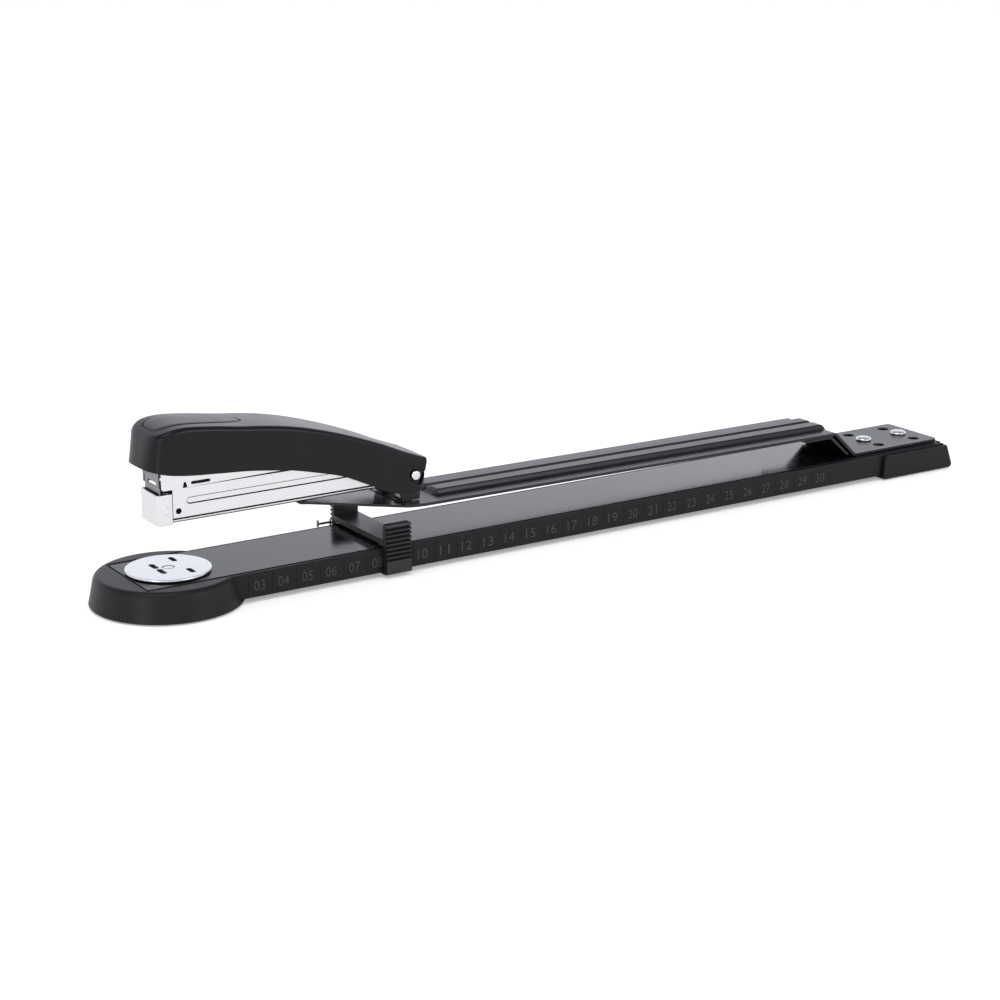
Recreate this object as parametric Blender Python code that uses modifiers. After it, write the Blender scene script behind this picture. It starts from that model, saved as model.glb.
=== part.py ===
"""Long reach stapler: a 400 mm ruled base, a steel arm riveted at the rear, and a
stapling head that hinges on a pin at the arm's front end.

Axes: Y runs along the base (nose at -Y, rivets at +Y), X across, Z up.  The pieces are
laid out with the anvil disc's centre at Y = 0; at the end everything moves along Y so
that the origin is the middle of the footprint, with the feet standing on Z = 0.
"""
import math

import bmesh
import bpy
from mathutils import Matrix

MM = 0.001
GAP = 0.3                  # clearance between neighbouring pieces

# ---- driving dimensions, in millimetres --------------------------------------
REACH = 309.0              # anvil centre to the top of the arm's rear ramp
HEAD_LEN = 98.5            # anvil centre to the head's hinge pin
FOOT_R = 28.9              # front foot, radius at the ground
FOOT_Y = -0.9              # front foot, its middle ahead of the disc
BASE_W = 38.0              # ruled channel, overall width
BASE_TOP = 11.8            # top of the base plate above the ground
ARM_W = 31.8               # long arm and rear plate, width
ARM_CLEAR = 11.2           # gap between base plate and arm at the rear
HANDLE_W = 27.0            # handle cover, overall width
HANDLE_RISE = 56.4         # top of the handle's nose above the base plate
MAG_W = 14.0               # magazine channel, overall width
NOSE_GAP = 19.4            # base plate to the underside of the nose

BASE_FRONT = -16.0         # front ends of the channel and the base plate
SHEET = 1.2                # arm and base plate sheet
THIN = 0.7                 # magazine and frame sheet

# ---- heights and stations that follow from them ------------------------------
CH_BOTTOM = 2.0
CH_TOP = BASE_TOP - 0.2
CH_HALF = BASE_W / 2
CH_WALL = 1.1
PLATE_HALF = CH_HALF - CH_WALL - GAP
PLATE_Z0 = BASE_TOP - SHEET
WEB_TOP = PLATE_Z0 - GAP
WEB_Z0 = WEB_TOP - 1.5

DISC_R = 16.0
DISC_Z0 = BASE_TOP + GAP
DISC_TOP = DISC_Z0 + 1.0
POST_R = 3.6
STAPLE_Y = -4.8            # plane the blade and the leading staple work in

RAMP_TOP_Y = REACH
RAMP_END_Y = REACH + 11.5
REAR_Y = RAMP_END_Y + 48.3
REAR_Z0 = BASE_TOP + GAP
REAR_TOP = REAR_Z0 + SHEET
ARM_HALF = ARM_W / 2
ARM_Z_REAR = BASE_TOP + ARM_CLEAR
ARM_Z_FRONT = ARM_Z_REAR + 1.3
BEND_Y = HEAD_LEN - 5.5
HOLE_X = 9.94
HOLE_Y = (RAMP_END_Y + 18.7, RAMP_END_Y + 39.4)

PIN_Y = HEAD_LEN
PIN_Z = BASE_TOP + NOSE_GAP + 5.0
PIN_R = 1.9
NOSE_Z = BASE_TOP + NOSE_GAP
MAG_HALF = MAG_W / 2
MAG_Z0 = NOSE_Z + 0.4
MAG_TOP = MAG_Z0 + 12.7
MAG_IN = MAG_HALF - THIN
CAP_HALF = MAG_HALF + 0.4
CAP_FRONT = -6.6
CAP_BACK = -0.5
CAP_TOP = NOSE_Z + 11.6
FRAME_IN = CAP_HALF + 0.35
FRAME_HALF = FRAME_IN + THIN
COVER_HALF = HANDLE_W / 2
COVER_WALL = 1.6
NOSE_TOP = BASE_TOP + HANDLE_RISE
EAR_IN = FRAME_HALF + 0.75
EAR_RIVET_X = EAR_IN - 2.4

FLOOR_Z = MAG_Z0 + THIN
RAIL_HALF = MAG_IN - 1.3
RAIL_Z0 = FLOOR_Z + 0.4
RAIL_TOP = RAIL_Z0 + 6.0
STAPLE_HALF = MAG_IN - 0.2
STAPLE_TOP = RAIL_TOP + 0.9
ROD_Z = STAPLE_TOP + 2.0
STRIP_END = 44.0
PUSH_LEN = 12.0
RAIL_END = HEAD_LEN - 10.5

GUIDE_Y = 80.0
GUIDE_LEN = 11.0
BAR_Z0 = BASE_TOP + 0.6
BAR_TOP = BASE_TOP + 3.3
GRIP_IN = CH_HALF + GAP
GRIP_OUT = GRIP_IN + 2.9
GRIP_TOP = BASE_TOP + 9.7

REAR_FOOT_Y = RAMP_END_Y + 12.0
REAR_FOOT_END = RAMP_END_Y + 54.5
REAR_FOOT_HALF = CH_HALF + 1.9
LIP_HALF = CH_HALF - 2.6
MIDDLE_Y = (REAR_FOOT_END - 0.6 + FOOT_Y - (FOOT_R - 0.2)) / 2

MATERIALS = {
    "black_paint": ((0.030, 0.031, 0.036), 0.28, 0.0),
    "channel_plastic": ((0.035, 0.035, 0.038), 0.50, 0.0),
    "foot_plastic": ((0.030, 0.030, 0.033), 0.42, 0.0),
    "cover_plastic": ((0.028, 0.028, 0.030), 0.38, 0.0),
    "pad_plastic": ((0.040, 0.040, 0.043), 0.60, 0.0),
    "pad_rubber": ((0.020, 0.020, 0.021), 0.85, 0.0),
    "nickel": ((0.78, 0.79, 0.80), 0.22, 1.0),
    "rivet_steel": ((0.72, 0.73, 0.75), 0.25, 1.0),
    "spring_steel": ((0.55, 0.56, 0.58), 0.30, 1.0),
    "staple_wire": ((0.70, 0.71, 0.73), 0.30, 1.0),
}


# ---- scene and helpers -------------------------------------------------------
def clear_scene():
    for obj in list(bpy.data.objects):
        bpy.data.objects.remove(obj, do_unlink=True)


def collection(name):
    col = bpy.data.collections.new(name)
    bpy.context.scene.collection.children.link(col)
    return col


def material(name):
    mat = bpy.data.materials.get(name)
    if mat is None:
        color, roughness, metallic = MATERIALS[name]
        mat = bpy.data.materials.new(name)
        mat.use_nodes = True
        bsdf = mat.node_tree.nodes["Principled BSDF"]
        bsdf.inputs["Base Color"].default_value = (*color, 1.0)
        bsdf.inputs["Roughness"].default_value = roughness
        bsdf.inputs["Metallic"].default_value = metallic
    return mat


def place(obj, kind, mat=None):
    """Put an object in the parts or the cutters collection."""
    col = PARTS if kind == "part" else CUTTERS
    col.objects.link(obj)
    if kind == "cutter":
        obj.hide_render = True
        obj.display_type = "WIRE"
    if mat:
        obj.data.materials.clear()
        obj.data.materials.append(material(mat))
    return obj


def from_curve(name, curve, matrix):
    """Turn a curve into a clean mesh object."""
    temp = bpy.data.objects.new(name + "_curve", curve)
    temp.matrix_world = matrix
    CUTTERS.objects.link(temp)
    bpy.context.view_layer.update()
    graph = bpy.context.evaluated_depsgraph_get()
    mesh = bpy.data.meshes.new_from_object(temp.evaluated_get(graph))
    mesh.name = name
    bpy.data.objects.remove(temp, do_unlink=True)
    obj = bpy.data.objects.new(name, mesh)
    obj.matrix_world = matrix
    weld(obj)
    return obj


def weld(obj):
    bm = bmesh.new()
    bm.from_mesh(obj.data)
    bmesh.ops.remove_doubles(bm, verts=bm.verts, dist=1e-6)
    bmesh.ops.transform(bm, matrix=obj.matrix_world, verts=bm.verts)
    bmesh.ops.recalc_face_normals(bm, faces=bm.faces)
    bm.to_mesh(obj.data)
    bm.free()
    obj.matrix_world = Matrix.Identity(4)


# Matrices that stand a flat outline in a plane: columns are the outline's u, v, normal.
PLANE_YZ = Matrix(((0, 0, 1, 0), (1, 0, 0, 0), (0, 1, 0, 0), (0, 0, 0, 1)))
PLANE_XZ = Matrix(((1, 0, 0, 0), (0, 0, -1, 0), (0, 1, 0, 0), (0, 0, 0, 1)))
PLANE_XY = Matrix.Identity(4)


def outline_curve(name, loops, half):
    curve = bpy.data.curves.new(name, "CURVE")
    curve.dimensions = "2D"
    curve.fill_mode = "BOTH"
    curve.extrude = half * MM
    for points in loops:
        spline = curve.splines.new("POLY")
        spline.points.add(len(points) - 1)
        for point, (u, v) in zip(spline.points, points):
            point.co = (u * MM, v * MM, 0.0, 1.0)
        spline.use_cyclic_u = True
    return curve


def prism(name, plane, points, lo, hi, kind="part", mat=None, holes=()):
    """Outline in a plane, thickened from lo to hi along the plane's normal."""
    curve = outline_curve(name, [points, *holes], (hi - lo) / 2)
    normal = plane.col[2].xyz
    shift = Matrix.Translation(normal * (lo + hi) / 2 * MM)
    obj = from_curve(name, curve, shift @ plane)
    return place(obj, kind, mat)


def side_prism(name, points, x0, x1, **keys):
    return prism(name, PLANE_YZ, points, x0, x1, **keys)


def plan_prism(name, points, z0, z1, **keys):
    return prism(name, PLANE_XY, points, z0, z1, **keys)


def section_prism(name, points, y0, y1, **keys):
    """Cross-section in X and Z, extruded along Y."""
    return prism(name, PLANE_XZ, points, -y1, -y0, **keys)


def box(name, x0, x1, y0, y1, z0, z1, kind="part", mat=None):
    mesh = bpy.data.meshes.new(name)
    bm = bmesh.new()
    bmesh.ops.create_cube(bm, size=MM)
    size = Matrix.Diagonal((x1 - x0, y1 - y0, z1 - z0, 1.0))
    middle = Matrix.Translation([c * MM / 2 for c in (x0 + x1, y0 + y1, z0 + z1)])
    bmesh.ops.transform(bm, matrix=middle @ size, verts=bm.verts)
    bm.to_mesh(mesh)
    bm.free()
    return place(bpy.data.objects.new(name, mesh), kind, mat)


def cylinder(name, radius, centre, axis, length, sides=32, kind="part", mat=None):
    """Cylinder whose middle is at centre, along X, Y or Z."""
    turn = {
        "X": Matrix.Rotation(math.pi / 2, 4, "Y"),
        "Y": Matrix.Rotation(math.pi / 2, 4, "X"),
        "Z": Matrix.Identity(4),
    }[axis]
    mesh = bpy.data.meshes.new(name)
    bm = bmesh.new()
    bmesh.ops.create_cone(bm, cap_ends=True, segments=sides, radius1=radius * MM,
                          radius2=radius * MM, depth=length * MM)
    shift = Matrix.Translation([c * MM for c in centre])
    bmesh.ops.transform(bm, matrix=shift @ turn, verts=bm.verts)
    bm.to_mesh(mesh)
    bm.free()
    obj = bpy.data.objects.new(name, mesh)
    return place(obj, kind, mat)


def turned(name, profile, centre, axis="Z", steps=48, kind="part", mat=None):
    """Solid of revolution: profile is (radius, height) pairs from top to bottom."""
    mesh = bpy.data.meshes.new(name)
    verts = [(r * MM, 0.0, h * MM) for r, h in profile]
    mesh.from_pydata(verts, [(i, i + 1) for i in range(len(verts) - 1)], [])
    obj = bpy.data.objects.new(name, mesh)
    screw = obj.modifiers.new("Turn", "SCREW")
    screw.steps = steps
    screw.render_steps = steps
    screw.use_merge_vertices = True
    screw.merge_threshold = 1e-6
    temp_col = CUTTERS
    temp_col.objects.link(obj)
    bpy.context.view_layer.update()
    graph = bpy.context.evaluated_depsgraph_get()
    solid = bpy.data.meshes.new_from_object(obj.evaluated_get(graph))
    solid.name = name
    bpy.data.objects.remove(obj, do_unlink=True)
    result = bpy.data.objects.new(name, solid)
    turn = Matrix.Rotation(math.pi / 2, 4, "Y") if axis == "X" else Matrix.Identity(4)
    result.matrix_world = Matrix.Translation([c * MM for c in centre]) @ turn
    weld(result)
    return place(result, kind, mat)


def combine(obj, other, operation="DIFFERENCE"):
    mod = obj.modifiers.new(other.name, "BOOLEAN")
    mod.object = other
    mod.operation = operation
    mod.solver = "EXACT"
    return obj


def bevel(obj, width, segments=2, angle=40.0):
    mod = obj.modifiers.new("Bevel", "BEVEL")
    mod.width = width * MM
    mod.segments = segments
    mod.limit_method = "ANGLE"
    mod.angle_limit = math.radians(angle)
    mod.use_clamp_overlap = True
    return obj


def smooth(obj):
    for poly in obj.data.polygons:
        poly.use_smooth = True
    return obj


def fillet(points, radii, arc=5):
    """Round the corners of an outline; radii holds one radius per point."""
    result = []
    count = len(points)
    for i, ((x, y), radius) in enumerate(zip(points, radii)):
        if radius <= 0:
            result.append((x, y))
            continue
        ax, ay = points[i - 1]
        bx, by = points[(i + 1) % count]
        ux, uy = ax - x, ay - y
        vx, vy = bx - x, by - y
        lu, lv = math.hypot(ux, uy), math.hypot(vx, vy)
        ux, uy, vx, vy = ux / lu, uy / lu, vx / lv, vy / lv
        half = math.acos(max(-1.0, min(1.0, ux * vx + uy * vy))) / 2
        reach = min(radius / math.tan(half), 0.48 * min(lu, lv))
        bend = reach * math.tan(half)
        dist = bend / math.sin(half)
        mx, my = ux + vx, uy + vy
        lm = math.hypot(mx, my)
        cx, cy = x + mx / lm * dist, y + my / lm * dist
        a0 = math.atan2(y + uy * reach - cy, x + ux * reach - cx)
        a1 = math.atan2(y + vy * reach - cy, x + vx * reach - cx)
        sweep = (a1 - a0 + math.pi) % (2 * math.pi) - math.pi
        for k in range(arc + 1):
            a = a0 + sweep * k / arc
            result.append((cx + bend * math.cos(a), cy + bend * math.sin(a)))
    return result


def mirrored(half_points):
    """Close an outline given for X >= 0 by reflecting it across X = 0."""
    return half_points + [(-x, y) for x, y in reversed(half_points)]


def circle(cx, cy, radius, count=20):
    return [(cx + radius * math.cos(2 * math.pi * k / count),
             cy + radius * math.sin(2 * math.pi * k / count)) for k in range(count)]


def slot(cx, cy, length, width, count=6, vertical=False):
    """Stadium outline."""
    r = width / 2
    s = length / 2 - r
    points = []
    for side in (1, -1):
        for k in range(count + 1):
            a = -math.pi / 2 + math.pi * k / count + (0 if side > 0 else math.pi)
            points.append((side * s + r * math.cos(a), r * math.sin(a)))
    if vertical:
        points = [(-v, u) for u, v in points]
    return [(cx + u, cy + v) for u, v in points]


def coil(name, centre, axis, radius, wire, length, turns, per_turn=12, mat=None):
    """Helical spring along Y or Z from centre, as one capped tube."""
    curve = bpy.data.curves.new(name, "CURVE")
    curve.dimensions = "3D"
    curve.bevel_depth = wire * MM
    curve.bevel_resolution = 2
    curve.use_fill_caps = True
    spline = curve.splines.new("POLY")
    count = int(turns * per_turn)
    spline.points.add(count)
    for k in range(count + 1):
        a = 2 * math.pi * k / per_turn
        t = length * k / count
        u, v = radius * math.cos(a), radius * math.sin(a)
        offset = (u, t, v) if axis == "Y" else (u, v, t)
        point = [(c + o) * MM for c, o in zip(centre, offset)]
        spline.points[k].co = (*point, 1.0)
    obj = from_curve(name, curve, Matrix.Identity(4))
    return smooth(place(obj, "part", mat))


# ---- base --------------------------------------------------------------------
def make_base():
    h, w = CH_HALF, CH_WALL
    section = ([(h, CH_BOTTOM), (h, CH_TOP), (h - w, CH_TOP), (h - w, WEB_TOP),
                (-h + w, WEB_TOP), (-h + w, CH_TOP), (-h, CH_TOP), (-h, CH_BOTTOM),
                (-h + 1.6, CH_BOTTOM), (-h + 1.6, WEB_Z0), (h - 1.6, WEB_Z0),
                (h - 1.6, CH_BOTTOM)])
    channel = section_prism("base_channel", section, BASE_FRONT - 0.4, REAR_Y + 1.0,
                            mat="channel_plastic")
    combine(channel, cylinder("cut_channel_post", POST_R + 0.6, (0, 0, WEB_TOP), "Z",
                              12, kind="cutter"))
    for i, y in enumerate(HOLE_Y):
        combine(channel, cylinder(f"cut_channel_rivet_{i}", 2.6, (0, y, WEB_TOP), "Z",
                                  12, sides=20, kind="cutter"))

    p = PLATE_HALF
    corners = [(-p, BASE_FRONT), (p, BASE_FRONT), (p, REAR_Y - 0.6), (-p, REAR_Y - 0.6)]
    holes = [circle(0, 0, POST_R + 0.5, 24)] + [circle(0, y, 2.5) for y in HOLE_Y]
    plan_prism("base_plate", fillet(corners, (0.8, 0.8, 0.8, 0.8), 3), PLATE_Z0,
               BASE_TOP, mat="black_paint", holes=holes)


def make_feet():
    r = FOOT_R
    under = 0.5
    profile = [(0, BASE_TOP), (r - 3.6, BASE_TOP), (r - 2.7, BASE_TOP - 0.6),
               (r - 2.1, BASE_TOP - 1.8), (r - 0.2, under + 0.5), (r - 0.6, under),
               (0, under)]
    foot = smooth(turned("front_foot", profile, (0, FOOT_Y, 0), steps=64,
                         mat="foot_plastic"))
    g = CH_HALF + GAP
    combine(foot, box("cut_foot_channel", -g, g, BASE_FRONT - 0.7, r + 5,
                      CH_BOTTOM - GAP, BASE_TOP + 5, kind="cutter"))
    combine(foot, cylinder("cut_foot_button", 7.6, (0, 0, 0), "Z", 8, kind="cutter"))
    pad_spots = [(0, -21.5), (17.5, 12.0), (-17.5, 12.0)]
    for i, (x, y) in enumerate(pad_spots):
        combine(foot, cylinder(f"cut_front_pad_{i}", 4.6, (x, y, 0), "Z", 2.2, 24,
                               kind="cutter"))
        smooth(cylinder(f"front_pad_{i + 1}", 4.3, (x, y, 0.4), "Z", 0.8, 24,
                        mat="pad_rubber"))

    w, y0, y1 = REAR_FOOT_HALF, REAR_FOOT_Y, REAR_FOOT_END
    top = CH_TOP - 0.6
    side = [(y0 + 0.3, under), (y1, under), (y1 - 4.4, top + 1.4),
            (y1 - 6.8, top + 1.4), (y1 - 8.2, top), (y0 + 0.9, top)]
    cap = side_prism("rear_foot", fillet(side, (0.8, 1.2, 1.6, 0, 0, 1.8), 3), -w, w,
                     mat="foot_plastic")
    bevel(cap, 0.6, 2)
    cutter = section_prism(
        "cut_rear_foot",
        [(g, CH_BOTTOM - GAP), (g, BASE_TOP + 4), (-g, BASE_TOP + 4),
         (-g, CH_BOTTOM - GAP)], y0 - 4, REAR_Y + 1.3, kind="cutter")
    combine(cap, cutter)
    for sign in (-1, 1):
        near, far = sorted((sign * LIP_HALF, sign * (w + 2)))
        combine(cap, box("cut_foot_lip", near, far, y1 - 9.5, y1 + 1, top + 0.08, top + 4,
                         kind="cutter"))
    for i, x in enumerate((-11.0, 11.0)):
        y = (y0 + y1) / 2
        combine(cap, box(f"cut_rear_pad_{i}", x - 4.3, x + 4.3, y - 8.3, y + 8.3, -1.0,
                         1.1, kind="cutter"))
        box(f"rear_pad_{i + 1}", x - 4, x + 4, y - 8, y + 8, 0.0, 0.8, mat="pad_rubber")


def make_anvil():
    r = DISC_R
    disc = turned("anvil_disc", [(0, 1.0), (r - 0.4, 1.0), (r, 0.7), (r, 0.15),
                                 (r - 0.3, 0), (0, 0)], (0, 0, DISC_Z0), steps=64,
                  mat="nickel")
    smooth(disc)
    combine(disc, cylinder("cut_disc_post", 2.4, (0, 0, DISC_Z0), "Z", 6, 24,
                           kind="cutter"))
    pockets = [(3.5, -4.2, 6.2, 2.2), (-3.5, -4.2, 6.2, 2.2),
               (7.9, 5.4, 5.6, 2.0), (-7.9, 5.4, 5.6, 2.0)]
    for i, (x, y, length, width) in enumerate(pockets):
        combine(disc, plan_prism(f"cut_pocket_{i}", slot(x, y, length, width),
                                 DISC_TOP - 0.6, DISC_TOP + 1, kind="cutter"))
    post = [(0, DISC_TOP - 0.05), (2.1, DISC_TOP - 0.05), (2.1, DISC_Z0 - GAP),
            (POST_R, DISC_Z0 - GAP), (POST_R, 4.2), (6.6, 4.2), (7.0, 3.8),
            (7.0, 2.6), (6.4, 2.2), (0, 2.2)]
    smooth(turned("anvil_post", post, (0, 0, 0), steps=32, mat="rivet_steel"))
    coil("anvil_spring", (0, 0, 4.9), "Z", 5.2, 0.35, WEB_Z0 - 5.6, 3.0, 14,
         mat="spring_steel")


# ---- paper guide -------------------------------------------------------------
def make_guide():
    foot_z = 1.3
    hook = CH_HALF - 1.5
    ribs = []
    pitch = 1.75
    z = GRIP_TOP - 1.3
    for _ in range(8):
        ribs += [(GRIP_OUT, z), (GRIP_OUT - 0.75, z - 0.5), (GRIP_OUT - 0.75, z - 1.05),
                 (GRIP_OUT, z - 1.5)]
        z -= pitch
    half = ([(0, BAR_TOP), (GRIP_IN, BAR_TOP), (GRIP_IN, GRIP_TOP - 0.8),
             (GRIP_IN + 0.8, GRIP_TOP), (GRIP_OUT - 0.9, GRIP_TOP),
             (GRIP_OUT, GRIP_TOP - 0.9)] + ribs +
            [(GRIP_OUT, foot_z + 1.2), (GRIP_OUT - 1.2, foot_z), (hook, foot_z),
             (hook, CH_BOTTOM - GAP), (GRIP_IN, CH_BOTTOM - GAP), (GRIP_IN, BAR_Z0),
             (0, BAR_Z0)])
    section = half[1:-1] + [(-x, z) for x, z in reversed(half[1:-1])]
    slider = section_prism("guide_slider", section, GUIDE_Y, GUIDE_Y + GUIDE_LEN,
                           mat="channel_plastic")
    y = GUIDE_Y + GUIDE_LEN / 2
    combine(slider, box("cut_guide_pocket", -8, 8, y - 4, y + 4, BAR_Z0 - 1,
                        BAR_TOP - 1.0, kind="cutter"))

    top = BAR_TOP - 1.0 - GAP
    low = BASE_TOP + GAP
    arch = []
    for k in range(9):
        u = -7.4 + 14.8 * k / 8
        arch.append((u, low + (top - 0.35 - low) * math.cos(math.pi * u / 14.8) ** 2))
    leaf = arch + [(u, v + 0.3) for u, v in reversed(arch)]
    section_prism("guide_spring", leaf, y - 3, y + 3, mat="spring_steel")

    x0, x1 = -GRIP_OUT + 0.5, -GRIP_OUT + 1.3
    side = [(GUIDE_Y - 6.6, 11.0), (GUIDE_Y - 5.8, 11.0), (GUIDE_Y - 5.8, 11.7),
            (GUIDE_Y - 0.9, 11.7), (GUIDE_Y - 0.9, 9.0), (GUIDE_Y - GAP, 9.0),
            (GUIDE_Y - GAP, 13.4), (GUIDE_Y - 0.9, 13.4), (GUIDE_Y - 0.9, 12.6),
            (GUIDE_Y - 5.8, 12.6), (GUIDE_Y - 5.8, 13.7), (GUIDE_Y - 6.6, 13.7)]
    side_prism("guide_pointer", side, x0, x1, mat="nickel")


# ---- arm ---------------------------------------------------------------------
def arm_bottom(y):
    """Height of the arm's underside: it rises slightly towards the front."""
    t = (RAMP_TOP_Y - y) / (RAMP_TOP_Y - BEND_Y)
    return ARM_Z_REAR + (ARM_Z_FRONT - ARM_Z_REAR) * t


def make_arm():
    t = SHEET
    zr, zf = ARM_Z_REAR, ARM_Z_FRONT
    side = [(BEND_Y, zf), (RAMP_TOP_Y - 1.2, zr), (RAMP_END_Y - 1.2, REAR_Z0),
            (REAR_Y, REAR_Z0), (REAR_Y, REAR_TOP), (RAMP_END_Y - 0.2, REAR_TOP),
            (RAMP_TOP_Y - 0.2, zr + t), (BEND_Y, zf + t)]
    side = fillet(side, (0, 1.4, 2.4, 0, 0, 1.4, 2.4, 0), 4)
    arm = side_prism("long_arm", side, -ARM_HALF - 2, ARM_HALF + 2, mat="black_paint")
    h = ARM_HALF
    plan = mirrored([(h - 2.2, BEND_Y), (h - 0.9, BEND_Y + 3.2), (h, BEND_Y + 8.0),
                     (h, REAR_Y - 1.2), (h - 1.2, REAR_Y)])
    combine(arm, plan_prism("cut_arm_plan", plan, -20, 80, kind="cutter"), "INTERSECT")
    rib0, rib1 = BEND_Y + 15.0, RAMP_TOP_Y + 1.8
    for i, x in enumerate((-4.3, 4.3)):
        rib = rib_bar(f"cut_rib_{i}", x, rib0, rib1, zf, zr, t)
        combine(arm, rib, "UNION")
    for i, y in enumerate(HOLE_Y):
        for j, x in enumerate((-HOLE_X, HOLE_X)):
            combine(arm, cylinder(f"cut_screw_{i}{j}", 2.2, (x, y, REAR_TOP), "Z", 6,
                                  24, kind="cutter"))
        combine(arm, cylinder(f"cut_rivet_{i}", 2.5, (0, y, REAR_TOP), "Z", 6, 24,
                              kind="cutter"))
    for i, x in enumerate((-EAR_RIVET_X, EAR_RIVET_X)):
        combine(arm, cylinder(f"cut_ear_rivet_{i}", 1.3, (x, PIN_Y - 1.7, zf), "Z", 8,
                              16, kind="cutter"))

    inner = [(RAMP_TOP_Y - 16, zr - GAP), (RAMP_TOP_Y - 1.8, zr - GAP),
             (RAMP_END_Y - 2.6, REAR_Z0 + 0.6), (RAMP_END_Y - 4.2, REAR_Z0 + 0.6),
             (RAMP_TOP_Y - 2.6, zr - GAP - 1.3), (RAMP_TOP_Y - 16, zr - GAP - 1.3)]
    strap = side_prism("arm_reinforcement", inner, -h + 1.0, h - 1.0, mat="black_paint")
    bevel(strap, 0.2, 1)

    for i, y in enumerate(HOLE_Y):
        head = REAR_TOP + GAP
        profile = [(0, head + 1.3), (2.2, head + 1.15), (3.3, head + 0.55),
                   (3.5, head), (2.2, head), (2.2, WEB_Z0 - GAP), (3.6, WEB_Z0 - GAP),
                   (3.6, WEB_Z0 - 1.1), (0, WEB_Z0 - 1.1)]
        smooth(turned(f"rear_rivet_{i + 1}", profile, (0, y, 0), steps=32,
                      mat="rivet_steel"))


def rib_bar(name, x, y0, y1, z_front, z_rear, t):
    """Raised lengthwise bead with sloping sides and ends."""
    top, foot, rise = 2.9, 4.0, 2.0
    mesh = bpy.data.meshes.new(name)
    bm = bmesh.new()
    rings = ((y0, foot - 1.2, 0.0, 0.6), (y0 + 4.5, top, rise, 0.6),
             (y1 - 3.8, top, rise, 0.6), (y1, foot - 1.2, 0.0, 2.4))
    loops = []
    for y, half, height, sink in rings:
        base = arm_bottom(y) + t
        wide = foot if height else half
        ring = [(x - wide, base - sink), (x + wide, base - sink), (x + half, base + height),
                (x - half, base + height)]
        loops.append([bm.verts.new((px * MM, y * MM, pz * MM)) for px, pz in ring])
    for a, b in zip(loops, loops[1:]):
        for k in range(4):
            bm.faces.new((a[k], a[(k + 1) % 4], b[(k + 1) % 4], b[k]))
    bm.faces.new(loops[0][::-1])
    bm.faces.new(loops[-1])
    bmesh.ops.recalc_face_normals(bm, faces=bm.faces)
    bm.to_mesh(mesh)
    bm.free()
    return place(bpy.data.objects.new(name, mesh), "cutter")


def make_tongue():
    """Tapered spring tongue that carries the magazine."""
    tip_y = BEND_Y - 40.5
    tip_z = MAG_Z0 - GAP - 1.0
    root = BEND_Y - GAP
    z0 = ARM_Z_FRONT
    side = [(root, z0), (root, z0 + 1.0), (tip_y + 2.5, tip_z + 0.95), (tip_y, tip_z + 1.0),
            (tip_y - 1.2, tip_z + 0.2), (tip_y + 2.5, tip_z - 0.05)]
    tongue = side_prism("lift_tongue", side, -30, 30, mat="black_paint")
    h = ARM_HALF
    plan = mirrored([(6.4, tip_y - 2.0), (7.2, tip_y + 0.8), (h - 2.4, root + 1)])
    combine(tongue, plan_prism("cut_tongue_plan", plan, -20, 90, kind="cutter"),
            "INTERSECT")


def make_bracket():
    """Bracket on the arm whose two ears hold the hinge pin."""
    base_z = ARM_Z_FRONT + SHEET + GAP
    ear_r = 4.5
    for side_name, sign in (("left", -1), ("right", 1)):
        arc = [(PIN_Y + ear_r * math.cos(a), PIN_Z + ear_r * math.sin(a))
               for a in [math.pi * k / 10 for k in range(11)]]
        web = arc + [(PIN_Y - 4.6, base_z), (PIN_Y + 3.2, base_z)]
        x0, x1 = sorted((sign * EAR_IN, sign * (EAR_IN + 1.1)))
        ear = side_prism(f"hinge_ear_{side_name}", web, x0, x1, mat="black_paint")
        f0, f1 = sorted((sign * (EAR_IN + 0.9), sign * (EAR_IN - 5.0)))
        flange = box(f"cut_flange_{side_name}", f0, f1, PIN_Y - 4.6, PIN_Y + 1.2,
                     base_z, base_z + 1.1, kind="cutter")
        combine(ear, flange, "UNION")
        combine(ear, cylinder(f"cut_ear_pin_{side_name}", PIN_R + GAP,
                              (sign * EAR_IN, PIN_Y, PIN_Z), "X", 8, 24, kind="cutter"))
        x = sign * EAR_RIVET_X
        y = PIN_Y - 1.7
        combine(ear, cylinder(f"cut_ear_screw_{side_name}", 1.4, (x, y, base_z), "Z", 8,
                              16, kind="cutter"))
        low = ARM_Z_FRONT - 0.7
        high = base_z + 1.1 + GAP
        profile = [(0, high + 0.6), (1.1, high + 0.45), (1.5, high), (1.0, high),
                   (1.0, low), (1.5, low), (1.3, low - 0.6), (0, low - 0.6)]
        smooth(turned(f"ear_rivet_{side_name}", profile, (x, y, 0), steps=20,
                      mat="black_paint"))


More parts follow.
